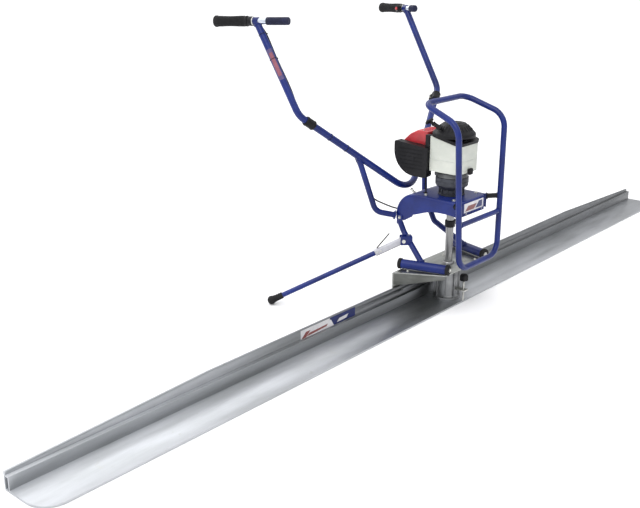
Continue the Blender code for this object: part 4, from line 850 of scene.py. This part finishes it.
def add_kickstand():
    matrix = stand_frame()
    cad("stand_bracket", BLUE, 0.0006)
    cad("stand_release", HEAT_DARK_AND_SHADE, 0.0004)
    length = (STAND_FOOT - STAND_PIVOT).length
    up = 1 if (matrix.to_3x3() @ Y_AXIS).z > 0 else -1
    channel = 0.115
    # A folded channel: a web on the upper side and two flanges that hold the pin.
    outline = [(-0.01, -0.0105), (-0.0078, -0.0105), (-0.0078, 0.008), (0.0078, 0.008), (0.0078, -0.0105),
        (0.01, -0.0105), (0.01, 0.0088), (0.0085, 0.0105), (-0.0085, 0.0105), (-0.01, 0.0088)]
    outline = [(x, y * up) for x, y in outline]
    behind_pin = 0.0045
    middle = matrix @ shift(0, 0, (channel - behind_pin) / 2)
    shell = plate([outline], channel + behind_pin, middle, 0.0006)
    low, high = sorted((up * 0.01, up * 0.013))
    lug = block((-0.0028, low, 0.0935), (0.0028, high, 0.099), matrix, 0.0006)
    piece("stand_channel_shell", [shell, lug], WHITE_PAINT, "kickstand", "stand_channel")
    # Painted shade: dark strips along the flanges' lower edges stand in for the shade along the channel's
    # underside
    low, high = sorted((up * -0.0104, up * -0.0086))
    edges = [block((x, low, 0.012), (x + 0.0018, high, channel - 0.004), matrix) for x in (-0.0102, 0.0084)]
    piece("stand_channel_shade_edges", edges, HEAT_DARK_AND_SHADE, "kickstand")
    start, end = matrix @ at(0, 0, 0.085), matrix @ at(0, 0, length - 0.012)
    joint = matrix @ at(0, 0, channel + 0.002)
    tube = [sweep([joint - (joint - start).normalized() * 0.0017, end], 0.0095, 32),
        sweep([start, joint], 0.0074, 24)]
    piece("stand_tube", tube, BLUE, "kickstand", "stand_leg")
    tip = circle_arc((0, length), 0.0163, -30, 90, 12)
    profile = [(0, length - 0.0117), (0.0098, length - 0.0117), (0.0098, length - 0.045),
        (0.0118, length - 0.045), (0.0124, length - 0.0435), (0.0124, length - 0.04)]
    for k in range(3):
        z = length - 0.037 + 0.008 * k
        profile += [(0.0119, z), (0.0119, z + 0.0012), (0.0126, z + 0.0022), (0.0128, z + 0.0055)]
    profile += tip[:-1] + [(0, length + 0.0163)]
    piece("stand_rubber_foot", [lathe(profile[::-1], matrix, 40)], RUBBER, "kickstand", "stand_foot")
    pin = matrix.to_3x3() @ X_AXIS
    pin_frame = facing(pin, STAND_PIVOT)
    head = 0.0168
    profile = [(0, head + 0.004), (0.005, head + 0.004), (0.0068, head + 0.0022), (0.007, head),
        (0.004, head), (0.004, -head), (0.007, -head), (0.007, -head - 0.0034), (0.0064, -head - 0.004),
        (0, -head - 0.004)]
    piece("stand_hinge_pin", [lathe(profile, pin_frame, 32)], ZINC, replaces="stand_pin")
    rivet = [(0, 0.0018), (0.0025, 0.0016), (0.0036, 0.0004), (0.0036, 0), (0, 0)]
    rivets = [lathe(rivet, facing(pin * side, matrix @ at(side * 0.01, 0, z)), 20) for z in (0.092, 0.106)
        for side in (1, -1)]
    piece("stand_rivets", rivets, ZINC, "kickstand")


# ---------------------------------------------------------------- engine
def add_clutch():
    profile = [(0.0125, 0.4113), (0.048, 0.4113), (0.049, 0.4123), (0.049, 0.4175), (0.0465, 0.419),
        (0.044, 0.4205), (0.044, 0.433), (0.047, 0.437), (0.058, 0.447), (0.0598, 0.4495), (0.06, 0.452),
        (0.06, 0.463), (0.0588, 0.464), (0.0588, 0.4665), (0.06, 0.4675), (0.06, 0.479), (0.0593, 0.4797),
        (0.046, 0.4797), (0.046, 0.443), (0.0125, 0.443)]
    parts = [lathe(profile, steps=72, closed=True)]
    for k in range(12):
        parts.append(block((0.0425, -0.0015, 0.4185), (0.0485, 0.0015, 0.4385), spin(30 * k + 15), 0.0006, 2))
    boss = [(0, 0.4797), (0.0055, 0.4797), (0.006, 0.479), (0.006, 0.456), (0.005, 0.4535), (0, 0.453)]
    for k in range(4):
        parts.append(lathe(boss, spin(90 * k + 45) @ shift(0.0565, 0, 0), 20))
    piece("clutch_bell_housing", parts, DARK_CAST, replaces="clutch_housing")
    screws = [cap_screw(spin(90 * k + 45) @ at(0.0565, 0, 0.4528), -Z_AXIS, 0.003) for k in range(4)]
    piece("clutch_screws", screws, BRASS)
    inside = {"clutch_drum": HEAT_DARK_AND_SHADE, "clutch_shoes": HEAT_DARK_AND_SHADE, "crankshaft": ZINC, "flywheel": CAST,
        "starter_reel": ZINC}
    for name, finish in inside.items():
        cad(name, finish)


def add_block():
    parts = [block((-0.046, -0.032, 0.482), (0.046, 0.05, 0.6055), bevel=0.005, segments=3)]
    base = [(0.0, 0.502), (0.05, 0.502), (0.056, 0.497), (0.057, 0.4955), (0.057, 0.4806), (0.0565, 0.4801),
        (0.0, 0.4801)]
    parts.append(lathe(base, steps=64))
    cylinder = facing(Y_AXIS, (0, 0.04, 0.545), X_AXIS)
    parts.append(lathe([(0, 0.112), (0.0245, 0.112), (0.025, 0.11), (0.025, 0), (0, 0)], cylinder, 48))
    outline = []
    for x, y, first in ((1, 1, 0), (-1, 1, 90), (-1, -1, 180), (1, -1, 270)):
        outline += circle_arc((0.024 * x, 0.024 * y), 0.009, first, first + 90, 5)
    for k in range(8):
        parts.append(plate([outline], 0.0022, cylinder @ shift(0, 0, 0.02 + 0.0118 * k), 0.0004, 1))
    crown = [(0, 0.1196), (0.015, 0.1196), (0.0175, 0.117), (0.019, 0.111), (0, 0.111)]
    parts.append(lathe(crown, cylinder, 32))
    piece("engine_castings", parts, CAST, replaces="engine_block")
    heads = []
    for x in (-0.022, 0.022):
        for z in (0.523, 0.567):
            heads += hex_bolt((x, 0.144, z), Y_AXIS, 0.004, 0.0034)
    piece("head_bolts", heads, ZINC)


def add_tank():
    half, slot, front, rear, slot_front, radius = 0.07, 0.0485, -0.07, 0.055, -0.0345, 0.024
    left = circle_arc((-half + radius, front + radius), radius, 180, 270, 12)
    right = circle_arc((half - radius, front + radius), radius, 270, 360, 12)
    outline = [(-half, rear), *left, *right, (half, rear), (slot, rear), (slot, slot_front),
        (-slot, slot_front), (-slot, rear)]
    bottom, top = 0.5037, 0.605
    body = plate([outline], top - bottom, shift(0, 0, (top + bottom) / 2))
    for vertex in body.verts:
        if vertex.co.z > 0.55:
            vertex.co.z += max(0.0, (vertex.co.y - front)) * TANK_SLOPE
    tank = piece("tank_shell", [body], TANK, replaces="fuel_tank")
    soften(tank, 0.01, 6)
    outer = [at(x, y, 0.548) for x, y in outline[:len(left) + len(right) + 2]]
    piece("tank_seam", [sweep(outer, 0.0011, 10)], TANK)
    neck = facing((0.966, 0, 0.259), (0.064, -0.01, 0.57))
    profile = [(0.008, 0.0188), (0.0105, 0.0188), (0.011, 0.018), (0.011, 0.006), (0.0135, 0.003),
        (0.0135, 0.0), (0.008, 0.0)]
    piece("tank_neck", [lathe(profile, neck, 40, closed=True)], TANK)
    profile = [(0, 0.0235), (0.014, 0.0235), (0.0155, 0.0226), (0.0163, 0.0205), (0.016, 0.0127),
        (0.0113, 0.0127), (0.0113, 0.0193), (0, 0.0193)]
    cap = [lathe(profile, neck, 48)]
    for k in range(18):
        cap.append(block((0.0152, -0.0009, 0.013), (0.0164, 0.0009, 0.0218), neck @ spin(20 * k), 0.0003, 1))
    piece("tank_cap", cap, BLACK, "fuel_cap", "fuel_cap")
    low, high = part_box("tank_bumper")
    piece("tank_front_pad", [block(low, high, bevel=0.004)], RUBBER, replaces="tank_bumper")


def add_starter():
    front = -0.07
    tilt = shift(0, front, 0.6056) @ Matrix.Rotation(atan(TANK_SLOPE), 4, "X")
    outline = []
    for x, y, r, first in ((0.047, 0.106, 0.026, 0), (-0.047, 0.106, 0.026, 90), (-0.044, 0.027, 0.029, 180),
            (0.044, 0.027, 0.029, 270)):
        outline += circle_arc((x, y), r, first, first + 90, 8)
    skirt = plate([outline], 0.011, tilt @ shift(0, 0, 0.0058))
    legs = [block((x, 0.0572, 0.5892), (x + 0.022, 0.074, 0.6345)) for x in (-0.0735, 0.0515)]
    flange = piece("starter_cover_skirt", [skirt, *legs], BLACK)
    soften(flange, 0.0045, 4)
    profile = [(0, 0.68), (0.024, 0.68), (0.0255, 0.6785), (0.027, 0.6775), (0.04, 0.6775), (0.043, 0.6762),
        (0.0745, 0.646), (0.0775, 0.6425), (0.0785, 0.639), (0.0785, 0.635), (0.0785, 0.63), (0.0755, 0.63),
        (0.0755, 0.634), (0.066, 0.654), (0.043, 0.6735), (0, 0.6735)]
    dome = [lathe(profile, steps=72)]
    for k in range(28):
        slot = spin(360 * k / 28) @ shift(0.058, 0, 0.6619) @ spin(43.8, "Y")
        dome.append(block((-0.0115, -0.0013, 0.0), (0.0115, 0.0013, 0.0016), slot, 0.0004, 1))
    sleeve_start, sleeve_end = STARTER_GRIP - PULL * 0.05, STARTER_GRIP - PULL * 0.013
    dome.append(sweep([sleeve_start, sleeve_end - PULL * 0.004], 0.0075, 28))
    dome.append(sweep([sleeve_end - PULL * 0.005, sleeve_end], 0.0092, 28, ease=0.0012))
    piece("starter_dome", dome, BLACK, replaces="starter_housing")
    screws = [cap_screw(tilt @ at(x, y, 0.0112), tilt.to_3x3() @ Z_AXIS, 0.0032) for x in (-0.058, 0.058)
        for y in (0.02, 0.115)]
    piece("starter_screws", screws, BRASS)
    grip_frame = facing(PULL, STARTER_GRIP, X_AXIS)
    handle = block((-0.023, -0.0075, -0.002), (0.023, 0.0075, 0.008), grip_frame, 0.0034, 4)
    stem = lathe([(0, 0.0), (0.0078, -0.001), (0.0062, -0.006), (0.005, -0.012), (0, -0.012)], grip_frame, 28)
    ridges = [block((x - 0.0008, -0.0079, -0.0005), (x + 0.0008, 0.0079, 0.0065), grip_frame, 0.0004, 1)
        for x in (-0.016, -0.0125, 0.0125, 0.016)]
    piece("starter_pull_handle", [handle, stem, *ridges], BLACK, "starter_grip", "starter_grip")
    rope_start, rope_end = STARTER_GRIP - PULL * 0.045, STARTER_GRIP - PULL * 0.002
    points = [rope_start.lerp(rope_end, k / 64) for k in range(65)]
    rope = piece("starter_rope", [sweep(points, 0.0019, 12, ease=0)], ROPE, None)
    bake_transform(rope)


def add_covers():
    outside = [(0.08, 0.5885), (0.08, 0.6412), (0.121, 0.6412), (0.13, 0.6405), (0.16, 0.6245),
        (0.1865, 0.6005), (0.1915, 0.594), (0.1915, 0.5885)]
    cover = piece("red_cover_shell", [plate([outside], 0.0996, YZ_PLANE)], RED, replaces="cylinder_cover")
    soften(cover, 0.007, 5)
    cheeks = [block((x, 0.064, 0.59), (x + 0.0032, 0.083, 0.633), bevel=0.0012) for x in (0.046, -0.0492)]
    piece("red_cover_cheeks", cheeks, RED)
    ribs = []
    for x in (-0.03, -0.015, 0.0, 0.015, 0.03):
        path = [at(x, y, z) for y, z in ((0.092, 0.6412), (0.122, 0.6412), (0.16, 0.6245), (0.184, 0.6028))]
        ribs.append(sweep(bent(path, [0.02, 0.02]), 0.0014, 10, ease=0.0006))
    piece("red_cover_ribs", ribs, RED)
    screws = [cap_screw((x, 0.105, 0.6412), Z_AXIS, 0.0028) for x in (-0.04, 0.04)]
    piece("red_cover_screws", screws, BRASS)
    outline = [*circle_arc((0.07, 0.488), 0.012, 180, 270, 8), *circle_arc((0.115, 0.566), 0.09, -90, 0, 20),
        *circle_arc((0.197, 0.592), 0.008, 0, 90, 6), (0.058, 0.588)]
    body = plate([outline], 0.033, shift(-0.0685, 0, 0) @ YZ_PLANE)
    cleaner = piece("air_cleaner_shell", [body], BLACK, replaces="air_cleaner")
    soften(cleaner, 0.006, 4)
    details = []
    for z in (0.505, 0.519, 0.533, 0.547, 0.561, 0.575):
        reach = 0.115 + sqrt(0.074**2 - (0.566 - z) ** 2) if z < 0.566 else 0.187
        details.append(block((-0.085, 0.076, z - 0.0012), (-0.0838, reach, z + 0.0012), None, 0.0006, 2))
    stud = [(0, 0.0016), (0.0075, 0.0016), (0.0085, 0.0008), (0.0085, -0.001), (0, -0.001)]
    details.append(lathe(stud, facing(-X_AXIS, (-0.085, 0.122, 0.54)), 32))
    piece("air_cleaner_ribs", details, BLACK)
    inner = [(0.115 + (y - 0.115) * 0.965, 0.54 + (z - 0.54) * 0.965) for y, z in outline]
    base = plate([inner], 0.0018, shift(-0.0509, 0, 0) @ YZ_PLANE, 0.0004)
    piece("air_cleaner_base", [base], ZINC)


def add_fuel_parts():
    cad("carburettor", ZINC, 0.0008)
    cad("muffler", HEAT_DARK_AND_SHADE)
    def rectangle(y, z, middle=0.0):
        return [(-y, middle - z), (y, middle - z), (y, middle + z), (-y, middle + z)]

    outlines = [rectangle(0.036, 0.034)] + [rectangle(0.027, 0.0025, z)
        for z in (-0.024, -0.012, 0, 0.012, 0.024)]
    place = shift(0.0955, 0.113, 0.531) @ YZ_PLANE
    post = [(0, 0.002), (0.003, 0.002), (0.003, -0.0015), (0, -0.0015)]
    posts = [lathe(post, facing(X_AXIS, (0.0945, y, z)), 16) for y in (0.082, 0.144) for z in (0.502, 0.56)]
    piece("muffler_guard", [plate(outlines, 0.0012, place, 0.0002, 1), *posts], HEAT_DARK_AND_SHADE)
    cap = facing(Y_AXIS, (0, 0.1606, 0.545), X_AXIS)
    profile = [(0, 0.0258), (0.007, 0.0258), (0.0088, 0.024), (0.0095, 0.0215), (0.0095, 0.0105),
        (0.0112, 0.009), (0.012, 0.007), (0.012, 0.0005), (0, 0.0005)]
    boot = [lathe(profile, cap, 36), sweep([at(0, 0.178, 0.55), at(0, 0.178, 0.562)], 0.006, 24)]
    piece("plug_boot", boot, RUBBER, replaces="spark_plug_cap")
    wire = [at(0, 0.178, 0.56), at(0.002, 0.177, 0.572), at(0.01, 0.16, 0.583), at(0.02, 0.12, 0.586),
        at(0.026, 0.075, 0.59), at(0.028, 0.047, 0.592)]
    piece("plug_wire", [sweep(smooth_route(wire), 0.003, 16)], RUBBER)


# ---------------------------------------------------------------- throttle cable
def add_cables():
    rear_hole, top_hole = at(-0.08, 0.179, 0.338), at(-0.05, 0.082, 0.409)
    offsets = ((0.9, CABLE_OFFSET), (0.87, 0.0215), (0.81, 0.017), (0.66, 0.0165), (0.54, 0.018))
    lower = [beside_tube(-1, share, offset) for share, offset in offsets]
    lower += [at(-0.198, 0.29, 0.52), at(-0.172, 0.268, 0.45), at(-0.16, 0.262, 0.405),
        at(-0.14, 0.25, 0.375), at(-0.115, 0.222, 0.356), rear_hole + at(-0.006, 0.014, 0.002), rear_hole
        + at(0.006, -0.02, 0.002), at(-0.058, 0.11, 0.366), top_hole - Z_AXIS * 0.01, top_hole
        + Z_AXIS * 0.03, at(-0.044, 0.087, 0.48), at(-0.0435, 0.088, 0.508)]
    piece("cable_lower_run", [sweep(smooth_route(lower, 8), CABLE_RADIUS, 16)], RUBBER,
        replaces="throttle_cable")
    left = facing(mirrored(BAR_DIRECTION, -1), mirrored(TEE, -1), -Z_AXIS)
    tee, corner = mirrored(TEE, -1), mirrored(HANDLE_CORNER, -1)
    upper = [left @ at(0.012, -0.024, 0.0148), left @ at(0.0125, -0.024, 0.004)]
    upper += [tee.lerp(corner, share) + X_AXIS * x for share,
        x in ((0.14, 0.02), (0.4, 0.0175), (0.75, 0.0185))]
    upper += [beside_tube(-1, share, CABLE_OFFSET) for share in (0.985, 0.96)]
    piece("cable_upper_run", [sweep(smooth_route(upper, 8), CABLE_RADIUS, 16)], RUBBER, "left_handle",
        "upper_throttle_cable")
    start, end = beside_tube(-1, 0.9, CABLE_OFFSET), beside_tube(-1, 0.96, CABLE_OFFSET)
    points = [start.lerp(end, k / 24) for k in range(25)]
    bridge = piece("cable_at_swivel", [sweep(points, CABLE_RADIUS, 16, ease=0)], RUBBER, None)
    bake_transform(bridge)
    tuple(start)
    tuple(end)
    ties = []
    for share in (0.6, 0.74):
        centre, cable = lower_tube_point(-1, share), beside_tube(-1, share, 0.0168)
        ties.append(cable_tie(centre, cable, (mirrored(HANDLE_CORNER, -1) - YOKE_APEX).normalized()))
    piece("cable_ties_lower", ties, BLACK)
    ties = []
    for share, offset in ((0.14, 0.02), (0.4, 0.0175)):
        centre = tee.lerp(corner, share)
        ties.append(cable_tie(centre, centre + X_AXIS * offset, (corner - tee).normalized()))
    piece("cable_ties_upper", ties, BLACK, "left_handle")


def cable_tie(centre, cable, along):
    """A flat band drawn tight round the tube and the cable beside it."""
    across = cable - centre
    across = (across - along * across.dot(along)).normalized()
    distance = (cable - centre).dot(across)
    wide, narrow = TUBE_RADIUS + 0.001, CABLE_RADIUS + 0.001
    lean = degrees(acos((wide - narrow) / distance))
    path = circle_arc((0, 0), wide, lean, 360 - lean, 24) + circle_arc((distance, 0), narrow, -lean, lean, 8)
    frame_matrix = facing(along, centre, across)
    points = [frame_matrix @ at(x, y, 0) for x, y in path]
    band = sweep(points, 0.0009, 8, cyclic=True)
    head = frame_matrix @ at(distance + narrow, 0, 0)
    lock = block((-0.0012, -0.0022, -0.0022), (0.0026, 0.0022, 0.0022), facing(along, head, across), 0.0006,
        2)
    return join([band, lock])


def add_handle_sticker():
    """A thin generic wrapped sticker round the left upper tube."""
    tee, corner = mirrored(TEE, -1), mirrored(HANDLE_CORNER, -1)
    along = (corner - tee).normalized()
    for name, first, last, finish in (("handle_sticker_edge", 0.3, 0.62, STICKER_EDGE),
            ("handle_sticker_red", 0.34, 0.58, STICKER_RED)):
        reach = 0.0129 if finish is STICKER_EDGE else 0.01305
        spread = 44 if finish is STICKER_EDGE else 30
        matrix = facing(along, tee, at(-0.75, -0.66, 0))
        length = (corner - tee).length
        corners = ((first, reach - 0.0004), (first, reach), (last, reach), (last, reach - 0.0004))
        rows = []
        for k in range(13):
            angle = radians(-spread + 2 * spread * k / 12)
            rows.append([matrix @ at(r * cos(angle), r * sin(angle), length * share) for share, r in corners])
        bm = skin(rows, caps=True)
        bmesh.ops.recalc_face_normals(bm, faces=bm.faces)
        piece(name, [bm], finish, "left_handle")


# ---------------------------------------------------------------- stage, light and camera
def area_light(name, place, target, size, power, colour=(1, 1, 1)):
    data = bpy.data.lights.new(name, "AREA")
    data.shape = "RECTANGLE"
    data.size, data.size_y = size
    data.energy = power
    data.color = colour
    obj = bpy.data.objects.new(name, data)
    obj.location = place
    obj.rotation_mode = "QUATERNION"
    obj.rotation_quaternion = (Vector(target) - Vector(place)).to_track_quat("-Z", "Y")
    bpy.context.scene.collection.objects.link(obj)


def add_stage():
    bpy.ops.mesh.primitive_plane_add(size=160, location=(0, 0, -0.0004))
    floor = bpy.context.object
    floor.name = "floor"
    pale = bpy.data.materials.new("pale_floor")
    pale.use_nodes = True
    shader = pale.node_tree.nodes["Principled BSDF"]
    shader.inputs["Base Color"].default_value = (0.93, 0.93, 0.935, 1)
    shader.inputs["Roughness"].default_value = 0.9
    floor.data.materials.append(pale)
    world = bpy.data.worlds.new("studio")
    world.use_nodes = True
    nodes, links = world.node_tree.nodes, world.node_tree.links
    place = node(nodes, "TexCoord")
    split = node(nodes, "SeparateXYZ")
    ramp = node(nodes, "ValToRGB")
    for element, (height, tone) in zip(ramp.color_ramp.elements, ((0.0, 0.6), (1.0, 1.35))):
        element.position = height
        element.color = (tone, tone, tone * 1.01, 1)
    for height, tone in ((0.3, 0.62), (0.55, 1.35)):
        element = ramp.color_ramp.elements.new(height)
        element.color = (tone, tone, tone * 1.01, 1)
    links.new(place.outputs["Generated"], split.inputs[0])
    links.new(split.outputs["Z"], ramp.inputs["Fac"])
    side = node(nodes, "VectorMath")
    side.operation = "DOT_PRODUCT"
    side.inputs[1].default_value = (-0.8, 0.6, 0)
    links.new(place.outputs["Generated"], side.inputs[0])
    share = node(nodes, "MapRange", From_Min=-1.0, From_Max=1.0, To_Min=0.72, To_Max=1.4)
    links.new(side.outputs["Value"], share.inputs["Value"])
    links.new(share.outputs["Result"], nodes["Background"].inputs["Strength"])
    links.new(ramp.outputs["Color"], nodes["Background"].inputs["Color"])
    bpy.context.scene.world = world
    area_light("key", (-3.6, -0.9, 4.2), (0, 0.1, 0.3), (3.0, 2.0), 60)
    area_light("fill", (3.4, -2.0, 2.6), (0, 0.1, 0.3), (2.5, 2.5), 6)
    area_light("back", (0.5, 3.8, 3.2), (0, 0.1, 0.4), (3.5, 1.5), 30)
    data = bpy.data.cameras.new("photo_view")
    data.sensor_width = 36
    data.lens = 51.67
    data.clip_start, data.clip_end = 0.05, 200
    camera = bpy.data.objects.new("photo_view", data)
    camera.location = (-2.804, -1.805, 1.294)
    azimuth, drop = radians(48.826), radians(18.725)
    forward = at(sin(azimuth) * cos(drop), cos(azimuth) * cos(drop), -sin(drop))
    camera.rotation_mode = "QUATERNION"
    camera.rotation_quaternion = forward.to_track_quat("-Z", "Y")
    bpy.context.scene.collection.objects.link(camera)
    bpy.context.scene.camera = camera
    bpy.context.scene.view_settings.view_transform = "Standard"


add_board()
add_base()
add_knobs()
add_feet()
add_deck()
add_cage()
add_yoke()
add_handles()
add_controls()
add_kickstand()
add_clutch()
add_block()
add_tank()
add_starter()
add_covers()
add_fuel_parts()
add_cables()
add_handle_sticker()
add_stage()
